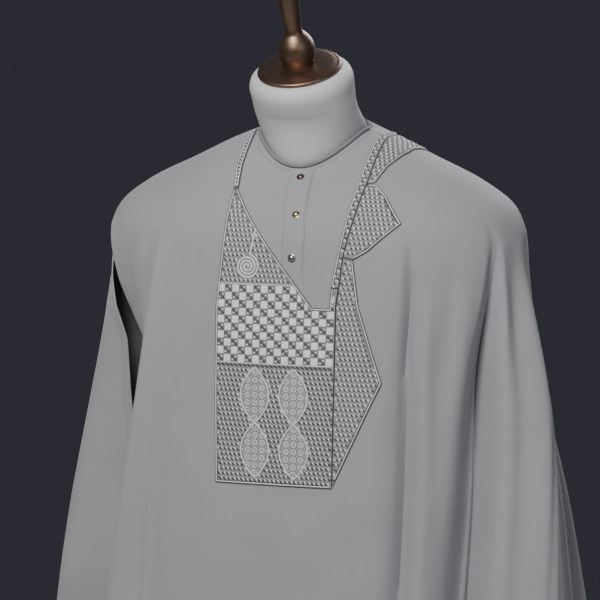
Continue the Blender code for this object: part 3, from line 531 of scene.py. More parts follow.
def chart_shell(name, outline, high, low, surface, turned_at=None):
    """Closed thin piece of cloth inside a charted outline, as thick as a hem along the line turned_at."""
    rim = resampled(outline, 0.002, closed=True)
    low_corner, high_corner = outline.min(axis=0), outline.max(axis=0)
    steps = [np.arange(low_corner[k], high_corner[k], GRID_PITCH) for k in (0, 1)]
    grid = np.stack(np.meshgrid(*steps), axis=-1).reshape(-1, 2)
    grid = grid[within(grid, outline, 0.0011)]
    flat = np.concatenate([rim, grid])
    cut = delaunay_2d_cdt([Vector(p) for p in flat], [], [list(range(len(rim)))], 1, 1e-7)
    flat = np.array([tuple(p) for p in cut[0]])
    faces = [list(f) for f in cut[2]]
    count = len(flat)
    top, _ = on_path(flat, high)
    under = np.full(count, low)
    if turned_at is not None:
        under[distance_to(flat, turned_at) < TURNED_EDGE] = HEM_UNDER
    bottom, _ = chart.on_cloth(flat[:, 0], flat[:, 1], under)
    corners = flat[np.array(faces)]
    turned_over = np.cross(corners[:, 1] - corners[:, 0], corners[:, 2] - corners[:, 0]) < 0
    faces = [f[::-1] if over else f for f, over in zip(faces, turned_over)]
    walls = rim_walls(np.array(faces), count).tolist()
    # Seen from the front, x runs to the right and s up, so a face that turns left faces out.
    every = faces + [[i + count for i in f[::-1]] for f in faces] + walls
    return add_piece(name, np.concatenate([top, bottom]), every, surface,
                     np.concatenate([flat, flat]), sharp=50.0)


def stamped(centres, template, faces, high, spin=0.0):
    """Points and faces of one small shape, turned by an angle and set down on the cloth at each centre."""
    centres, template = np.asarray(centres, float), np.asarray(template, float)
    c, s = math.cos(spin), math.sin(spin)
    at = centres[:, None, :] + template[None, :, :2] @ np.array([[c, s], [-s, c]])
    lift = np.broadcast_to(template[None, :, 2], at.shape[:2]) + high
    points, _ = chart.on_cloth(at[..., 0], at[..., 1], lift)
    step = len(template)
    every = [[i + n * step for i in f] for n in range(len(centres)) for f in faces]
    return points.reshape(-1, 3), every


def ring_faces(count, sides, closed=False):
    """Faces that join rings of points, each to the next. An open row of rings gets a cap at each end."""
    faces = []
    for i in range(count if closed else count - 1):
        j = (i + 1) % count
        for k in range(sides):
            m = (k + 1) % sides
            faces.append((i * sides + k, j * sides + k, j * sides + m, i * sides + m))
    if not closed:
        faces.append(tuple(range(sides)))
        faces.append(tuple(range((count - 1) * sides, count * sides))[::-1])
    return faces


def tube(points, normals, radius, sides=6, closed=False, flat=1.0):
    """Points and faces of a thread along a path on the cloth."""
    points, normals = np.asarray(points), np.asarray(normals)
    along = np.gradient(points, axis=0)
    if closed:
        along = np.roll(points, -1, axis=0) - np.roll(points, 1, axis=0)
    along /= np.maximum(np.linalg.norm(along, axis=1), 1e-9)[:, None]
    side = np.cross(along, normals)
    side /= np.maximum(np.linalg.norm(side, axis=1), 1e-9)[:, None]
    turns = 2.0 * math.pi * np.arange(sides) / sides
    ring = (points[:, None, :] + radius * np.cos(turns)[None, :, None] * side[:, None, :]
            + flat * radius * np.sin(turns)[None, :, None] * normals[:, None, :])
    return ring.reshape(-1, 3), [f[:1] + f[:0:-1] for f in ring_faces(len(points), sides, closed)]


def thread_on(path, radius, high, closed=False):
    """Points and faces of a slightly flattened cord along a path of x and s."""
    points, out = on_path(path, high)
    return tube(points, out, radius, 6, closed, flat=0.8)


def joined(name, parts, surface):
    """One piece of many small shapes."""
    points, faces, start = [], [], 0
    for shape_points, shape_faces in parts:
        points.append(shape_points)
        faces += [[i + start for i in f] for f in shape_faces]
        start += len(shape_points)
    add_piece(name, np.concatenate(points), faces, surface)


# Materials
def material(name, base, roughness, metallic=0.0, sheen=0.0):
    made = bpy.data.materials.new(name)
    made.use_nodes = True
    shader = made.node_tree.nodes["Principled BSDF"]
    shader.inputs["Base Color"].default_value = (*base, 1.0)
    shader.inputs["Roughness"].default_value = roughness
    shader.inputs["Metallic"].default_value = metallic
    shader.inputs["Sheen Weight"].default_value = sheen
    return made, made.node_tree, shader


def node(tree, kind, **values):
    made = tree.nodes.new(kind)
    for name, value in values.items():
        if hasattr(made, name):
            setattr(made, name, value)
        else:
            made.inputs[name.replace("_", " ")].default_value = value
    return made


def mottled(tree, shader, base, spread, scale, source, detail=3.0):
    """Colour that wanders a little about its base."""
    noise = node(tree, "ShaderNodeTexNoise", Scale=scale, Detail=detail)
    ramp = node(tree, "ShaderNodeValToRGB")
    ramp.color_ramp.elements[0].position, ramp.color_ramp.elements[1].position = 0.3, 0.7
    ramp.color_ramp.elements[0].color = (*[c * (1.0 - spread) for c in base], 1.0)
    ramp.color_ramp.elements[1].color = (*[c * (1.0 + spread) for c in base], 1.0)
    tree.links.new(source, noise.inputs["Vector"])
    tree.links.new(noise.outputs["Fac"], ramp.inputs["Fac"])
    tree.links.new(ramp.outputs["Color"], shader.inputs["Base Color"])


def bump(tree, shader, height, strength, distance):
    made = node(tree, "ShaderNodeBump", Strength=strength, Distance=distance)
    tree.links.new(height, made.inputs["Height"])
    tree.links.new(made.outputs["Normal"], shader.inputs["Normal"])


def woven(name, base, roughness, thread, sheen, strength, spread=0.05):
    """Plain weave of fine threads, laid along the cloth by its own chart in metres."""
    made, tree, shader = material(name, base, roughness, sheen=sheen)
    shader.inputs["Specular IOR Level"].default_value = 0.25
    shader.inputs["Sheen Roughness"].default_value = 0.5
    chart_node = node(tree, "ShaderNodeUVMap")
    mottled(tree, shader, base, spread, 9.0, chart_node.outputs["UV"], 5.0)
    waves = []
    for direction in ("X", "Y"):
        wave = node(tree, "ShaderNodeTexWave", bands_direction=direction, Scale=0.314 / thread,
                    Distortion=0.6, Detail=1.0)
        tree.links.new(chart_node.outputs["UV"], wave.inputs["Vector"])
        waves.append(wave)
    both = node(tree, "ShaderNodeMath", operation="MULTIPLY")
    tree.links.new(waves[0].outputs["Fac"], both.inputs[0])
    tree.links.new(waves[1].outputs["Fac"], both.inputs[1])
    slub = node(tree, "ShaderNodeTexNoise", Scale=260.0, Detail=2.0)
    tree.links.new(chart_node.outputs["UV"], slub.inputs["Vector"])
    height = node(tree, "ShaderNodeMath", operation="ADD")
    tree.links.new(both.outputs["Value"], height.inputs[0])
    tree.links.new(slub.outputs["Fac"], height.inputs[1])
    bump(tree, shader, height.outputs["Value"], strength, 0.0004)
    return made


def stitched(name, base, roughness, spread, scale):
    """Thread: a fine twist in its relief, and a little change of tone."""
    made, tree, shader = material(name, base, roughness, sheen=0.2)
    place = node(tree, "ShaderNodeTexCoord")
    mottled(tree, shader, base, spread, scale, place.outputs["Object"])
    twist = node(tree, "ShaderNodeTexNoise", Scale=1800.0, Detail=2.0)
    tree.links.new(place.outputs["Object"], twist.inputs["Vector"])
    bump(tree, shader, twist.outputs["Fac"], 0.35, 0.0003)
    return made


def solid_finish(name, base, roughness, metallic, spread, scale, grain, depth):
    made, tree, shader = material(name, base, roughness, metallic)
    place = node(tree, "ShaderNodeTexCoord")
    mottled(tree, shader, base, spread, scale, place.outputs["Object"])
    rough = node(tree, "ShaderNodeTexNoise", Scale=grain, Detail=4.0)
    tree.links.new(place.outputs["Object"], rough.inputs["Vector"])
    spread_rough = node(tree, "ShaderNodeMapRange", To_Min=roughness - 0.06, To_Max=roughness + 0.08)
    tree.links.new(rough.outputs["Fac"], spread_rough.inputs["Value"])
    tree.links.new(spread_rough.outputs["Result"], shader.inputs["Roughness"])
    bump(tree, shader, rough.outputs["Fac"], 0.25, depth)
    return made


CLOTH = woven("grey cloth", (0.372, 0.360, 0.378), 0.88, 0.0007, 0.35, 0.35)
GROUND = woven("embroidery ground", (0.330, 0.326, 0.335), 0.80, 0.0009, 0.2, 0.8, 0.08)
BOUND = woven("bound edge", (0.235, 0.230, 0.245), 0.82, 0.0007, 0.2, 0.4)
LIGHT_THREAD = stitched("light grey thread", (0.740, 0.735, 0.745), 0.60, 0.10, 90.0)
# Dark thread, also used for the painted shadow by the lapel's upper edge
DARK_THREAD_AND_SHADOW = stitched("dark grey thread and painted shadow", (0.055, 0.053, 0.058), 0.70, 0.15, 90.0)
GREY_THREAD = stitched("middle grey thread", (0.170, 0.167, 0.173), 0.65, 0.10, 90.0)
WHITE_THREAD = stitched("white thread", (0.940, 0.940, 0.940), 0.50, 0.05, 90.0)
SEWING = stitched("sewing thread", (0.170, 0.165, 0.178), 0.75, 0.10, 90.0)
WHITE_FORM = solid_finish("matt white form", (0.700, 0.700, 0.700), 0.58, 0.0, 0.02, 14.0, 160.0, 0.0004)
BRONZE = solid_finish("bronze", (0.240, 0.155, 0.110), 0.42, 1.0, 0.12, 30.0, 120.0, 0.0003)
STUD_METALS = [solid_finish(name, base, 0.26, 1.0, 0.08, 60.0, 200.0, 0.0002) for name, base in (
    ("dark bronze stud", (0.230, 0.165, 0.140)), ("pale gold stud", (0.640, 0.520, 0.340)),
    ("silvery stud", (0.440, 0.440, 0.450)))]
STEEL = solid_finish("dark stand", (0.060, 0.060, 0.065), 0.42, 1.0, 0.10, 20.0, 140.0, 0.0003)


# Robe: front and back as fine cloth on their solids' forms
def panel_grid(layer, columns, rows):
    """Outer points and normals of one panel, from free edge to free edge."""
    v = np.asarray(rows, float)[:, None] * np.ones((1, len(columns)))
    z = ring_value(ROBE_RINGS, "z_side", v)
    name = layer + "_angle"
    left, right = np.radians(edge_value(LEFT_EDGES, name, z)), np.radians(edge_value(RIGHT_EDGES, name, z))
    trim = 0.5 * SEAM_GAP / np.maximum(ring_value(ROBE_RINGS, "half_width", v), 0.05)
    share = np.asarray(columns)[None, :]
    if layer == "front":
        by_name = {fold.name: fold_values(fold, z)[0] for fold in FRONT_FOLDS}
        by_name["front centre"] = 0.0 * z
        stops = [(0.0, -left + trim)] + [(at, by_name[n]) for at, n in GUIDES] + [(1.0, right - trim)]
        angle = np.zeros(v.shape)
        for (low, low_angle), (high, high_angle) in zip(stops, stops[1:]):
            t = (share - low) / (high - low)
            part = (t >= 0.0) & ((t < 1.0) | (high == 1.0))
            angle = np.where(part, low_angle + (high_angle - low_angle) * t, angle)
    else:
        angle = (right + trim) * (1.0 - share) + (2.0 * math.pi - left - trim) * share
    near_edge = np.minimum(share, 1.0 - share)
    seam_share = 1.0 - soft_step(near_edge / 0.03) + 0.0 * angle
    return robe_point(angle, v, layer), robe_normals(angle, v, layer, seam_share)


def spread(*runs):
    """Values that run evenly from each stop to the next: stop, count, stop, count, ... stop."""
    values = []
    for start, count, end in zip(runs[0:-1:2], runs[1::2], runs[2::2]):
        values.append(np.linspace(start, end, count, endpoint=False))
    return np.concatenate(values + [[runs[-1]]])


fine_rows = spread(0.0, 50, 1.0, 30, 2.0, 24, 3.0, 48, 7.0)
front_columns = spread(0.0, 40, 0.20, 90, 0.62, 60, 0.80, 50, 1.0)
front_outer, front_normals = panel_grid("front", front_columns, fine_rows)
back_outer, back_normals = panel_grid("back", np.linspace(0.0, 1.0, 181), fine_rows)

V_CLEAR = 0.0028         # cells of the front nearer than this to the V's line are left out too
v_line = np.array(V_OPENING)
flat_middle = cell_middles(front_outer)[..., [0, 2]]
opened = inside(flat_middle, v_line) | (distance_to(flat_middle, v_line) < V_CLEAR)
opened &= flat_middle[..., 1] > 1.2
front = shell("robe_front_cloth", front_outer, front_outer - WALL * front_normals, CLOTH,
              kept=~opened)
back = shell("robe_back_cloth", back_outer, back_outer - WALL * back_normals, CLOTH)
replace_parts(front, "robe_front")
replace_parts(back, "robe_back")

# Inset behind the V and its button strip: it comes up close under the V's edge and at the shoulder seams
UP_AT_V, UP_AT_SEAM = 0.0011, 0.0016     # how much closer it comes
inset_share = np.linspace(0.0, 1.0, 241)
inset_outer, inset_normals = panel_grid("front", inset_share, spread(0.0, 60, 1.2, 20, 1.9))
covered = inside(cell_middles(inset_outer)[..., [0, 2]], np.array(INSET_OUTLINE))
inset_flat = inset_outer[..., [0, 2]]
from_v = distance_to(inset_flat, v_line)
at_seam = 1.0 - soft_step(np.minimum(inset_share, 1.0 - inset_share) / 0.022)
depth = INSET_DEPTH - UP_AT_V * (1.0 - soft_step(from_v / 0.008))
depth -= UP_AT_SEAM * at_seam[None, :] * soft_step(from_v / 0.006) * inside(inset_flat, v_line)
depth = depth[..., None]
inset = shell("inset_cloth", inset_outer - depth * inset_normals,
              inset_outer - (depth + WALL) * inset_normals, CLOTH, covered)
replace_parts(inset, "inset_front")
lift = SEAM_GAP - INSET_DEPTH
PLACKET_TOP = 1.4150
placket_line = charted([(x, min(z, PLACKET_TOP)) for x, z in PLACKET_OUTLINE])
placket = chart_shell("placket_cloth", placket_line, lift + PLACKET_WALL, lift, CLOTH)
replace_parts(placket, "placket")

# Embroidered pieces
lines = {name: charted(outline) for name, outline in OUTLINES.items()}
v_cut = charted(V_OPENING)
top = SEAM_GAP + EMBROIDERY
grounds = {}
for name, line in lines.items():
    grounds[name] = chart_shell(name + "_cloth", line, top, SEAM_GAP, GROUND, turned_at=v_cut)
    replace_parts(grounds[name], name)

# Corded edges: a light cord between two dark lines, except where two embroidered pieces meet on one dark line
light_parts, dark_and_shadow_parts, white_parts = [], [], []
LIGHT_CORD, DARK_CORD, BAND_CORD = 0.00075, 0.00042, 0.00070     # radii
CORD_LIFT = 0.0002                       # a light cord's centre above the cloth's face
CORD_DEPTHS = (0.0003, 0.0016, 0.0029)   # dark, light and dark cord, in from a piece's edge
NARROW_DEPTHS = (0.0002, 0.0012, 0.0024)
ALONE = 0.0012                           # an edge this far from the next piece stands alone
# Line of the painted shadow by the lapel's upper edge, in x and height
LAPEL_PAINTED_SHADOW = ((0.1210, 1.3835), (0.1425, 1.3560))


def stretches(path, kept):
    """The stretches of a closed path whose points are kept, each with whether it closes."""
    if kept.all():
        return [(path, True)]
    first = int(np.argmin(kept))
    path, kept = np.roll(path, -first, axis=0), np.roll(kept, -first)
    ends = np.flatnonzero(np.diff(np.concatenate([[0], kept.astype(int), [0]])))
    return [(path[a:b], False) for a, b in zip(ends[::2], ends[1::2]) if b - a > 3]


for name, line in lines.items():
    first, cord, second = NARROW_DEPTHS if name.startswith("strip") else CORD_DEPTHS
    others = [other for other_name, other in lines.items() if other_name != name]
    dark_and_shadow_parts.append(thread_on(inset_line(line, first), DARK_CORD, top, closed=True))
    for depth, parts, radius, high in ((cord, light_parts, LIGHT_CORD, top + CORD_LIFT),
                                       (second, dark_and_shadow_parts, DARK_CORD, top)):
        path = inset_line(line, depth)
        alone = np.min([distance_to(path, other) for other in others], axis=0) > depth + ALONE
        for stretch, closes in stretches(path, alone):
            parts.append(thread_on(stretch, radius, high, closed=closes))
# Painted shadow: a dark cord laid just inside the lapel's upper edge stands in for the shadow along that edge
lapel_shadow_path = on_chart(resampled(LAPEL_PAINTED_SHADOW, 0.0015))
dark_and_shadow_parts.append(thread_on(lapel_shadow_path - np.array([0.0030, 0.0012]), 0.00080, top))

# Fill: slanting dark stitches with a light knot between each two, every row shifted by a third of a pitch
PITCH_X, PITCH_S, SHIFT = 0.0055, 0.00585, 0.00185
SLANT = math.radians(-50.0)
BAND_LOW, BAND_HIGH = chart.way_up(0.0, 1.190), chart.way_up(0.0, 1.281)
CHECK_COLUMNS, CHECK_ROWS = 16, 10
CHECK_LEFT, CHECK_RIGHT = -0.0735, 0.0715
LEAF_COLUMNS = ((-0.0244, -0.0217), (0.0236, 0.0264))
LEAF_LEVELS = (1.185, 1.120, 1.056)
LEAF_HALF_WIDTH = 0.0176
SPIRAL_CENTRE, SPIRAL_RADIUS, SPIRAL_TURNS = (-0.0369, 1.3023), 0.0145, 3.3
SPIRAL_TAIL = ((-0.0333, 1.3200), (-0.0318, 1.3280), (-0.0302, 1.3370), (-0.0292, 1.3458))

oval = 2.0 * math.pi * np.arange(8) / 8


def lens(half_length, half_width, rise, curl=0.0):
    rim = np.stack([half_length * np.cos(oval), half_width * np.sin(oval), 0.0 * oval], axis=1)
    crown = rim * 0.55 + np.array([0.0, 0.0, 0.8 * rise])
    points = np.concatenate([rim, crown, [[0.0, 0.0, rise]]])
    points[:, 1] += curl * np.sin(2.4 * points[:, 0] / half_length)
    faces = [(i, (i + 1) % 8, 8 + (i + 1) % 8, 8 + i) for i in range(8)]
    return points, faces + [(8 + i, 8 + (i + 1) % 8, 16) for i in range(8)]


def leaf_outline(columns, high, low, count=22):
    """Pointed oval between two levels: its right side going up, then its left side going down."""
    def side(sign, t):
        z = low + (high - low) * t
        share = (LEAF_LEVELS[0] - z) / (LEAF_LEVELS[0] - LEAF_LEVELS[-1])
        centre = columns[0] + (columns[1] - columns[0]) * share
        return (centre + sign * LEAF_HALF_WIDTH * math.sin(math.pi * t) ** 0.85, z)
    up = [side(1.0, i / count) for i in range(count + 1)]
    down = [side(-1.0, 1.0 - i / count) for i in range(1, count)]
    return on_chart(up + down)


leaves = [leaf_outline(columns, high, low) for columns in LEAF_COLUMNS
          for high, low in zip(LEAF_LEVELS, LEAF_LEVELS[1:])]
spiral_centre = on_chart([SPIRAL_CENTRE])[0]
turn = np.linspace(0.0, 2.0 * math.pi * SPIRAL_TURNS, 110)
reach = SPIRAL_RADIUS * (0.10 + 0.90 * turn / turn[-1])
turn = turn - turn[-1] + math.radians(78.0)
spiral = spiral_centre + np.stack([reach * np.cos(turn), reach * np.sin(turn)], axis=1)
spiral = np.concatenate([spiral, resampled(on_chart(SPIRAL_TAIL), 0.0015)])


def clear_of_edge(spots, name, margin):
    """Which spots lie in a piece and clear of its corded edge, or of its plain edge beside another piece."""
    own = distance_to(spots, lines[name])
    other = np.min([distance_to(spots, lines[n]) for n in lines if n != name], axis=0)
    return inside(spots, lines[name]) & (own >= np.where(other < own + ALONE, 0.0016, margin))


KNOT_ALONG, KNOT_UP = 0.52, 0.10         # a knot's place after its dash, in pitches
DASH_CLEAR, KNOT_CLEAR = 0.0036, 0.0040  # distance from a piece's corded edge
BELOW_BAND, ABOVE_BAND = 0.0030, 0.0028  # the fill's distance from the check band
LEAF_CLEAR, TAIL_CLEAR, DISC_CLEAR = 0.0016, 0.0026, 0.0135      # and from leaves, spiral and its centre
MARGINS = {"strip_left": 0.0020, "strip_right": 0.0018}          # the narrow strips' own distances
dash_at, low_dash_at, knot_at = [], [], []
for name, line in lines.items():
    low_corner, high_corner = line.min(axis=0), line.max(axis=0)
    for j in range(int(low_corner[1] // PITCH_S), int(high_corner[1] // PITCH_S) + 2):
        s = (j + 0.4) * PITCH_S
        if name in MARGINS:
            cross = line[np.abs(line[:, 1] - s) < 0.006, 0]
            if len(cross) < 2:
                continue
            centre = 0.5 * (cross.min() + cross.max())
            side_step = 0.0 if name == "strip_left" else 0.0016
            xs = np.array([centre + (side_step if j % 2 else -side_step)])
            knots = xs - (2.0 * side_step if j % 2 else -2.0 * side_step)
            row = np.stack([xs, xs * 0 + s], axis=1)
            knot_row = np.stack([knots, knots * 0 + s + 0.5 * PITCH_S], axis=1)
        else:
            start = -((j * SHIFT) % PITCH_X)
            xs = np.arange(low_corner[0] // PITCH_X * PITCH_X + start, high_corner[0] + PITCH_X, PITCH_X)
            row = np.stack([xs, xs * 0 + s], axis=1)
            knot_row = row + np.array([KNOT_ALONG * PITCH_X, KNOT_UP * PITCH_S])
        for spots, margin, found in ((row, DASH_CLEAR, dash_at), (knot_row, KNOT_CLEAR, knot_at)):
            good = clear_of_edge(spots, name, MARGINS.get(name, margin))
            if name == "bib_block":
                good &= (spots[:, 1] < BAND_LOW - BELOW_BAND) | (spots[:, 1] > BAND_HIGH + ABOVE_BAND)
                for leaf in leaves:
                    good &= ~(inside(spots, leaf) | (distance_to(spots, leaf) < LEAF_CLEAR))
                ways = np.linalg.norm(spots[:, None] - spiral[None, ::3], axis=-1).min(axis=1)
                good &= (ways > TAIL_CLEAR) & (np.linalg.norm(spots - spiral_centre, axis=1) > DISC_CLEAR)
            if found is dash_at and name == "bib_block":
                low = good & (spots[:, 1] < BAND_LOW)
                low_dash_at += list(spots[low])
                good &= ~low
            found += list(spots[good])

dash, dash_faces = lens(0.0025, 0.00112, 0.00030, 0.0006)
knot, knot_faces = lens(0.0022, 0.0015, 0.00060)
dark_and_shadow_parts.append(stamped(dash_at, dash, dash_faces, top, SLANT))
dark_and_shadow_parts.append(stamped(low_dash_at, dash * 1.22, dash_faces, top, SLANT))
light_parts.append(stamped(knot_at, knot, knot_faces, top - 0.0001, SLANT))

# Check band: satin squares of upright white threads, and grey squares with two slanting stitches
cell_x = (CHECK_RIGHT - CHECK_LEFT) / CHECK_COLUMNS
cell_s = (BAND_HIGH - BAND_LOW) / CHECK_ROWS
for edge in (BAND_LOW - 0.0006, BAND_HIGH + 0.0006):
    path = np.stack([np.linspace(CHECK_LEFT - 0.0002, 0.0712, 80), np.full(80, edge)], axis=1)
    if edge > BAND_HIGH:
        path = path[path[:, 0] < 0.0235]
    light_parts.append(thread_on(path, BAND_CORD, top + CORD_LIFT))
# From thread to thread, and from a thread's middle to its end
WHITE_SATIN = (np.array([0.00116, 0.0]), np.array([0.0, 0.0035]))
GREY_SATIN = (np.array([0.0, 0.00126]), np.array([0.0042, 0.0]))
SATIN_CLEAR = 0.0012                     # a thread's end from the block's edge
white_at, grey_at, check_dash_at, check_knot_at = [], [], [], []
for i in range(CHECK_COLUMNS):
    for j in range(CHECK_ROWS):
        centre = np.array([CHECK_LEFT + (i + 0.5) * cell_x, BAND_HIGH - (j + 0.5) * cell_s])
        white = (i + j) % 2 == 0
        step, reach, found = (*WHITE_SATIN, white_at) if white else (*GREY_SATIN, grey_at)
        for k in range(-3, 4):
            thread = centre + k * step
            if within(np.array([thread - reach, thread + reach]), lines["bib_block"], SATIN_CLEAR).all():
                found.append(thread)
        if not white:
            for dx, ds in ((-0.0021, 0.0018), (0.0021, -0.0018)):
                check_dash_at.append(centre + np.array([dx, ds]))
                check_knot_at.append(centre + np.array([-dx, ds]))
bar_across = ((-0.00056, 0.0), (-0.0003, 0.00022), (0.0003, 0.00022), (0.00056, 0.0))
bar_along = ((-0.0041, 0.35), (-0.0034, 1.0), (0.0, 1.0), (0.0034, 1.0), (0.0041, 0.35))
bar = np.array([(x, s, height * share) for s, share in bar_along for x, height in bar_across])
bar_faces = [(r * 4 + c, r * 4 + c + 1, r * 4 + c + 5, r * 4 + c + 4) for r in range(4) for c in range(3)]
white_parts.append(stamped(white_at, bar, bar_faces, top))
grey_parts = [stamped(grey_at, bar * np.array([1.1, 1.05, 0.6]), bar_faces, top, 0.5 * math.pi)]
good_dash = within(np.array(check_dash_at), lines["bib_block"], 0.0030)
dark_and_shadow_parts.append(stamped(np.array(check_dash_at)[good_dash], dash * 0.88, dash_faces, top + 0.0002, SLANT))
good_knot = within(np.array(check_knot_at), lines["bib_block"], 0.0030)
light_parts.append(stamped(np.array(check_knot_at)[good_knot], knot * 0.7, knot_faces, top + 0.0002))

# Leaves with rosettes of small knots inside, knots between them, and the spiral with its tail
ring_turn = 2.0 * math.pi * np.arange(9) / 9
ROSETTE_X, ROSETTE_S, ROSETTE_RADIUS = 0.0091, 0.0088, 0.0029
for leaf in leaves:
    white_parts.append(thread_on(resampled(leaf, 0.0018, closed=True), 0.00080, top + 0.0003, closed=True))
    centre = 0.5 * (leaf.min(axis=0) + leaf.max(axis=0))
    spots = []
    for i in range(-2, 3):
        for j in range(-4, 5):
            at = centre + np.array([i * ROSETTE_X, j * ROSETTE_S])
            spots += list(at + ROSETTE_RADIUS * np.stack([np.cos(ring_turn), np.sin(ring_turn)], axis=1))
            spots += [at + 0.5 * np.array([x_way * ROSETTE_X, s_way * ROSETTE_S])
                      for x_way, s_way in ((0, 0), (1, 1), (-1, 1))]
    spots = np.array(spots)
    spots = spots[within(spots, leaf, 0.0019)]
    white_parts.append(stamped(spots, knot * 0.44, knot_faces, top))
white_parts.append(thread_on(spiral, 0.00095, top + 0.0003))

joined("light_stitches", light_parts, LIGHT_THREAD)
# The dark stitches also carry the painted shadow by the lapel's upper edge
joined("dark_stitches_and_painted_shadow", dark_and_shadow_parts, DARK_THREAD_AND_SHADOW)
joined("white_stitches", white_parts, WHITE_THREAD)
joined("grey_stitches", grey_parts, GREY_THREAD)


# Seams and hems: rows of small sewing stitches, and rolled edges
Stitch = namedtuple("Stitch", "pitch length radius")
HEM_STITCH = Stitch(0.0046, 0.0034, 0.00022)
NECK_STITCH = Stitch(0.0032, 0.0024, 0.00022)
PLACKET_STITCH = Stitch(0.0032, 0.0024, 0.00020)
STITCH_LIFT = 0.0001
SIDE_HEM, LOWER_HEM = 0.0100, 0.0250     # depth of the turned hems
HEM_TOP = 1.335                          # where the side hems begin
NECK_ROWS = (0.0042, 0.0062)             # depth of the two rows of stitches below the neck binding
NECK_UNIT = 0.145                        # metres along the cloth for one v, by the neck


def stitches_along(points, normals, stitch):
    """Short stitches laid end to end along a path in space."""
    way = way_along(points)
    parts = []
    for start in np.arange(0.5 * stitch.pitch, way[-1] - stitch.length, stitch.pitch):
        at = np.linspace(start, start + stitch.length, 3)
        here = np.stack([np.interp(at, way, points[:, k]) for k in range(3)], axis=1)
        out = np.stack([np.interp(at, way, normals[:, k]) for k in range(3)], axis=1)
        parts.append(tube(here + STITCH_LIFT * out, out, stitch.radius, 4))
    return parts


sewing_parts = []


def edge_path(outer, normals, side, depth):
    """Points a given depth inside a panel's left or right edge, or above its hem."""
    if side == "hem":
        way = way_along(outer[::-1])
        k = int(np.argmax(way[:, outer.shape[1] // 2] >= depth))
        return outer[-1 - k], normals[-1 - k]
    ordered, ordered_normals = (outer, normals) if side == "left" else (outer[:, ::-1], normals[:, ::-1])
    way = way_along(ordered, axis=1)
    points, out = [], []
    for r in range(len(outer)):
        points.append([np.interp(depth, way[r], ordered[r, :, k]) for k in range(3)])
        out.append([np.interp(depth, way[r], ordered_normals[r, :, k]) for k in range(3)])
    return np.array(points), np.array(out)


for outer, normals in ((front_outer, front_normals), (back_outer, back_normals)):
    for side in ("left", "right"):
        points, out = edge_path(outer, normals, side, SIDE_HEM)
        start = int(np.argmax(points[:, 2] < HEM_TOP))
        sewing_parts += stitches_along(points[start:], out[start:], HEM_STITCH)
    sewing_parts += stitches_along(*edge_path(outer, normals, "hem", LOWER_HEM), HEM_STITCH)

for depth in NECK_ROWS:
    ring = np.linspace(-1.45, 1.45, 150)
    ring_v = np.full(ring.shape, depth / NECK_UNIT)
    points = robe_point(ring, ring_v, "front")
    out = normals_of(lambda a, b: robe_point(a, b, "front"), ring, ring_v)
    sewing_parts += stitches_along(points - INSET_DEPTH * out, out, NECK_STITCH)
placket_sides = (((-0.0048, 1.4120), (-0.0038, 1.402), (0.0046, 1.347), (0.0056, 1.290), (0.0070, 1.2560)),
                 ((0.0210, 1.4120), (0.0218, 1.406), (0.0296, 1.340), (0.0286, 1.296)))
for side_path in placket_sides:
    on_placket = on_path(on_chart(resampled(side_path, 0.003)), lift + PLACKET_WALL)
    sewing_parts += stitches_along(*on_placket, PLACKET_STITCH)
joined("sewing_stitches", sewing_parts, SEWING)

# Neck binding
BINDING_TURNS, BINDING_SIDES = 240, 14
BINDING_REACH, BINDING_RISE = 0.0024, 0.0023
BINDING_CLEAR, BINDING_IN = 0.0005, 0.0016


def binding_frame(turn):
    """Centre of the roll at an angle round the neck, the way up the cloth and the way out of it."""
    layer = "front" if math.cos(turn) > 0.0 else "back"
    edge, lower = robe_point(turn, 0.0, layer), robe_point(turn, 0.05, layer)
    up = edge - lower
    up /= np.linalg.norm(up)
    side = np.array([math.sin(turn), -math.cos(turn), 0.0])
    out = side - up * np.dot(side, up)
    out /= np.linalg.norm(out)
    return edge + up * (BINDING_RISE + BINDING_CLEAR) - out * BINDING_IN, up, out


roll_points = []
for i in range(BINDING_TURNS):
    centre, up, out = binding_frame(2.0 * math.pi * i / BINDING_TURNS)
    for k in range(BINDING_SIDES):
        t = 2.0 * math.pi * k / BINDING_SIDES
        pucker = 1.0 + 0.05 * math.sin(i * 2.1) * math.cos(t)
        roll_points.append(centre + out * BINDING_REACH * pucker * math.cos(t)
                           + up * (BINDING_RISE + 0.0003) * math.sin(t))
roll_faces = ring_faces(BINDING_TURNS, BINDING_SIDES, closed=True)
roll_uv = np.array([(0.062 * 2.0 * math.pi * i / BINDING_TURNS, 0.001 * k)
                    for i in range(BINDING_TURNS) for k in range(BINDING_SIDES)])
roll = add_piece("neck_binding_roll", roll_points, roll_faces, BOUND, roll_uv)
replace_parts(roll, "neck_binding")


# Dress form
def smooth_rows(rows, per):
    """More rows between the given ones, on a smooth curve through them."""
    rows = np.array(rows)
    gaps = np.linalg.norm(np.diff(rows, axis=0), axis=-1).mean(axis=1)
    knots = np.concatenate([[0.0], np.cumsum(gaps)])
    runs = [np.linspace(a, b, per, endpoint=False) for a, b in zip(knots, knots[1:])]
    return through(np.concatenate(runs + [knots[-1:]]), knots, rows)


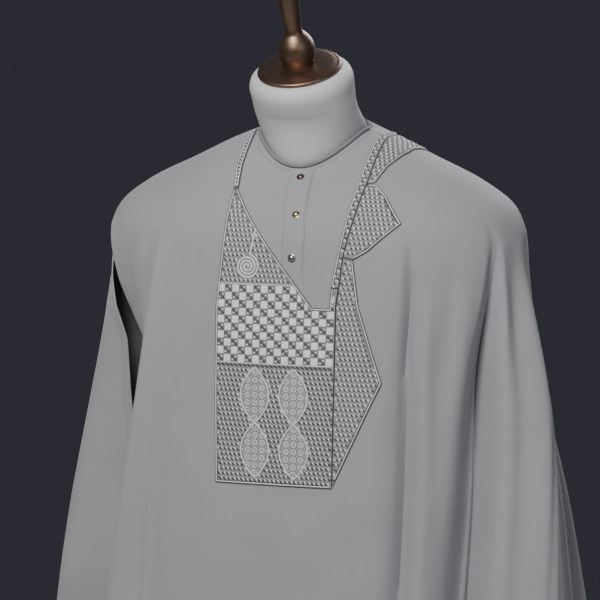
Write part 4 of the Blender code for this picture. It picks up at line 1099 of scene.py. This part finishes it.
FORM_TURNS = 144
form_turn = 2.0 * math.pi * np.arange(FORM_TURNS) / FORM_TURNS
axis_up = np.array([0.0, -math.sin(NECK_LEAN), math.cos(NECK_LEAN)])
axis_ahead = np.array([0.0, -math.cos(NECK_LEAN), -math.sin(NECK_LEAN)])
form_rows = []
for ring in NECK_RINGS:
    centre = np.array(NECK_TOP) + ring.along * axis_up
    form_rows.append(centre + ring.radius_x * np.sin(form_turn)[:, None] * np.array([1.0, 0.0, 0.0])
                     + ring.radius_y * np.cos(form_turn)[:, None] * axis_ahead)
for rise, reach_out in ((0.0030, 0.0), (0.0028, -0.0032), (0.0, -0.0036)):
    frames = [binding_frame(turn) for turn in form_turn]
    form_rows.append(np.array([centre + rise * up + reach_out * out for centre, up, out in frames]))
CLEARANCE = INSET_DEPTH + WALL + INSET_GAP
FORM_SUNK = 0.0004       # the fine form lies this much below the solid, clear of the fine cloth
for v in (0.07, 0.15, 0.27, 0.40, 0.54, 0.68, 0.82, 0.95):
    row = []
    for turn in form_turn:
        layer = "front" if math.cos(turn) >= 0.0 else "back"
        here = robe_point(turn, v, layer)
        out = np.cross(robe_point(turn, v + 1e-3, layer) - here,
                       robe_point(turn + 1e-3, v, layer) - robe_point(turn - 1e-3, v, layer))
        out /= np.linalg.norm(out)
        behind_inset = soft_step((math.cos(turn) + 0.30) / 0.25)
        depth = WALL + FORM_GAP + (CLEARANCE - WALL - FORM_GAP) * behind_inset
        depth += NAPE_GAP * (1.0 - soft_step(v / 0.15)) * (1.0 - behind_inset)
        row.append(here - (depth + FORM_SUNK) * out)
    form_rows.append(np.array(row))
for ring in TRUNK_RINGS:
    form_rows.append(ring_point(TRUNK_RINGS, form_turn, np.full(FORM_TURNS, ring.v)))
neck_fine = smooth_rows(form_rows[:6], 4)
rest_fine = smooth_rows(form_rows[5:], 3)
form_all = np.concatenate([neck_fine, rest_fine[1:]])
form = add_piece("form_body_smooth", form_all.reshape(-1, 3), ring_faces(*form_all.shape[:2]),
                 WHITE_FORM, sharp=50.0)
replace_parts(form, "form_body")


# Turned pieces
def arc(radius_x, radius_z, centre, start, end, count):
    turns = np.radians(np.linspace(start, end, count))
    return [(centre[0] + radius_x * math.cos(t), centre[1] + radius_z * math.sin(t)) for t in turns]


def turned(profile, steps, where, up):
    """Points and faces of a profile of radius and height, from the top down, turned about an axis."""
    up = np.asarray(up, float) / np.linalg.norm(up)
    side = np.cross(up, (0.0, 1.0, 0.0) if abs(up[1]) < 0.9 else (1.0, 0.0, 0.0))
    side /= np.linalg.norm(side)
    ahead = np.cross(up, side)
    turns = 2.0 * math.pi * np.arange(steps) / steps
    rows = []
    for radius, height in profile:
        radius = max(radius, 1e-5)
        rows.append(np.asarray(where) + height * up + radius * np.cos(turns)[:, None] * side
                    + radius * np.sin(turns)[:, None] * ahead)
    return np.concatenate(rows), ring_faces(len(rows), steps)


def rounded(points, per):
    """More profile points on a smooth curve through the given ones."""
    points = np.array(points)
    way = way_along(points)
    at = np.linspace(0.0, way[-1], per * (len(points) - 1) + 1)
    return list(zip(through(at, way, points[:, 0]), through(at, way, points[:, 1])))


def turned_piece(name, replaced, profile, steps, where, up, surface):
    points, faces = turned(profile, steps, where, up)
    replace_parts(add_piece(name, points, faces, surface, sharp=38.0), replaced)


CAP_RADIUS, CAP_HEIGHT = 0.0505, 0.0085
cap_at = np.array(NECK_TOP) + SEAM_GAP * axis_up
cap_profile = [(0.0, CAP_HEIGHT), (0.0230, CAP_HEIGHT)]
cap_profile += rounded([(0.0250, 0.0083), (0.0340, 0.0076), (0.0440, 0.0062), (0.0464, 0.0054)], 4)
cap_profile += arc(0.0040, 0.0026, (CAP_RADIUS - 0.0040, 0.0028), 80.0, -60.0, 12)
cap_profile += [(0.0440, 0.0), (0.0, 0.0)]
turned_piece("neck_cap_turned", "neck_cap", cap_profile, 128, cap_at, axis_up, BRONZE)
finial_at = np.array(NECK_TOP) + (2 * SEAM_GAP + CAP_HEIGHT) * axis_up
finial_profile = [(0.0, 0.166)] + arc(0.0170, 0.0170, (0.0, 0.149), 88.0, -44.0, 22)
finial_profile += [(0.0107, 0.1335), (0.0104, 0.1315)]
finial_profile += rounded([(0.0112, 0.1300), (0.0130, 0.100), (0.0128, 0.085), (0.0112, 0.060),
                           (0.0102, 0.046)], 6)
finial_profile += rounded([(0.0104, 0.0435), (0.0110, 0.041), (0.0165, 0.034), (0.0208, 0.026),
                           (0.0222, 0.017), (0.0212, 0.009), (0.0187, 0.003)], 5)
finial_profile += [(0.0190, 0.0), (0.0, 0.0)]
turned_piece("finial_turned", "finial", finial_profile, 96, finial_at, axis_up, BRONZE)

STUD_HIGH = lift + PLACKET_WALL + STUD_GAP
for number, (x, z) in enumerate(STUDS, start=1):
    base, out = (found[0] for found in on_path(on_chart([(x, z)]), STUD_HIGH))
    dome = [(0.0, 0.0034)] + arc(STUD_RADIUS * 0.80, 0.0024, (0.0, 0.0010), 86.0, 4.0, 9)
    dome += [(STUD_RADIUS * 0.86, 0.0009), (STUD_RADIUS, 0.0008), (STUD_RADIUS + 0.0001, 0.0004)]
    dome += [(STUD_RADIUS, 0.0), (0.0, 0.0)]
    turned_piece("stud_top_%d" % number, "stud_%d" % number, dome, 40, base, out, STUD_METALS[number - 1])

base_profile = [(0.0, BASE_HEIGHT + 0.004), (0.028, BASE_HEIGHT + 0.004)]
base_profile += arc(0.0024, 0.0024, (0.0290, BASE_HEIGHT + 0.0016), 80.0, 10.0, 6)
base_profile += rounded([(0.034, BASE_HEIGHT), (0.070, 0.0200), (BASE_RADIUS - 0.030, 0.014),
                         (BASE_RADIUS - 0.006, 0.010)], 5)
base_profile += [(BASE_RADIUS - 0.001, 0.0080), (BASE_RADIUS, 0.006), (BASE_RADIUS, 0.002),
                 (BASE_RADIUS - 0.002, 0.0), (0.0, 0.0)]
pole_low, pole_high = BASE_HEIGHT + 0.004 + SEAM_GAP, FORM_BOTTOM - SEAM_GAP
pole_profile = [(0.0, pole_high), (0.031, pole_high), (0.032, pole_high - 0.001), (0.032, pole_high - 0.005)]
pole_profile += rounded([(0.030, pole_high - 0.0065), (0.018, pole_high - 0.012),
                         (POLE_RADIUS + 0.001, pole_high - 0.026), (POLE_RADIUS, pole_high - 0.034)], 4)
pole_profile += [(POLE_RADIUS, pole_low), (0.0, pole_low)]
for name, profile, steps in (("stand_base", base_profile, 160), ("stand_pole", pole_profile, 48)):
    turned_piece(name + "_turned", name, profile, steps, (0.0, 0.0, 0.0), (0, 0, 1), STEEL)


# Floor, lights and camera
FLOOR = 1.7              # half the floor's side
floor_mesh = bpy.data.meshes.new("floor")
floor_corners = [(-FLOOR, -FLOOR, 0.0), (FLOOR, -FLOOR, 0.0), (FLOOR, FLOOR, 0.0), (-FLOOR, FLOOR, 0.0)]
floor_mesh.from_pydata(floor_corners, [], [(0, 1, 2, 3)])
floor = bpy.data.objects.new("floor", floor_mesh)
bpy.context.scene.collection.objects.link(floor)
floor_mesh.materials.append(material("pale floor", (0.62, 0.62, 0.61), 0.9)[0])

scene = bpy.context.scene
world = bpy.data.worlds.new("studio")
scene.world = world
world.use_nodes = True
tree = world.node_tree
ambient = tree.nodes["Background"]
ambient.inputs["Color"].default_value = (0.080, 0.084, 0.100, 1.0)
behind = tree.nodes.new("ShaderNodeBackground")
behind.inputs["Color"].default_value = (0.0300, 0.0303, 0.0395, 1.0)
rays, mix = tree.nodes.new("ShaderNodeLightPath"), tree.nodes.new("ShaderNodeMixShader")
tree.links.new(rays.outputs["Is Camera Ray"], mix.inputs["Fac"])
tree.links.new(ambient.outputs["Background"], mix.inputs[1])
tree.links.new(behind.outputs["Background"], mix.inputs[2])
tree.links.new(mix.outputs["Shader"], tree.nodes["World Output"].inputs["Surface"])

LIT_SPOT = Vector((0.0, 0.0, 1.15))


def soft_light(name, place, size, power):
    light = bpy.data.lights.new(name, "AREA")
    light.size, light.energy = size, power
    made = bpy.data.objects.new(name, light)
    scene.collection.objects.link(made)
    made.location = place
    made.rotation_euler = (Vector(place) - LIT_SPOT).to_track_quat("Z", "Y").to_euler()


soft_light("key", (-0.05, -2.3, 2.95), 0.9, 74.0)
soft_light("fill", (2.6, -2.2, 1.9), 1.6, 10.0)
soft_light("rim", (0.3, 2.5, 2.8), 1.5, 50.0)

AZIMUTH, ELEVATION, DISTANCE = math.radians(20.0), math.radians(6.5), 3.0
LOOK_AT = Vector((-0.0195, 0.0, 1.2493))
back_way = Vector((math.sin(AZIMUTH) * math.cos(ELEVATION), -math.cos(AZIMUTH) * math.cos(ELEVATION),
                   math.sin(ELEVATION)))
lens_data = bpy.data.cameras.new("camera")
lens_data.lens, lens_data.sensor_width = 147.5, 36.0
camera = bpy.data.objects.new("camera", lens_data)
scene.collection.objects.link(camera)
camera.location = LOOK_AT + DISTANCE * back_way
camera.rotation_euler = back_way.to_track_quat("Z", "Y").to_euler()
scene.camera = camera
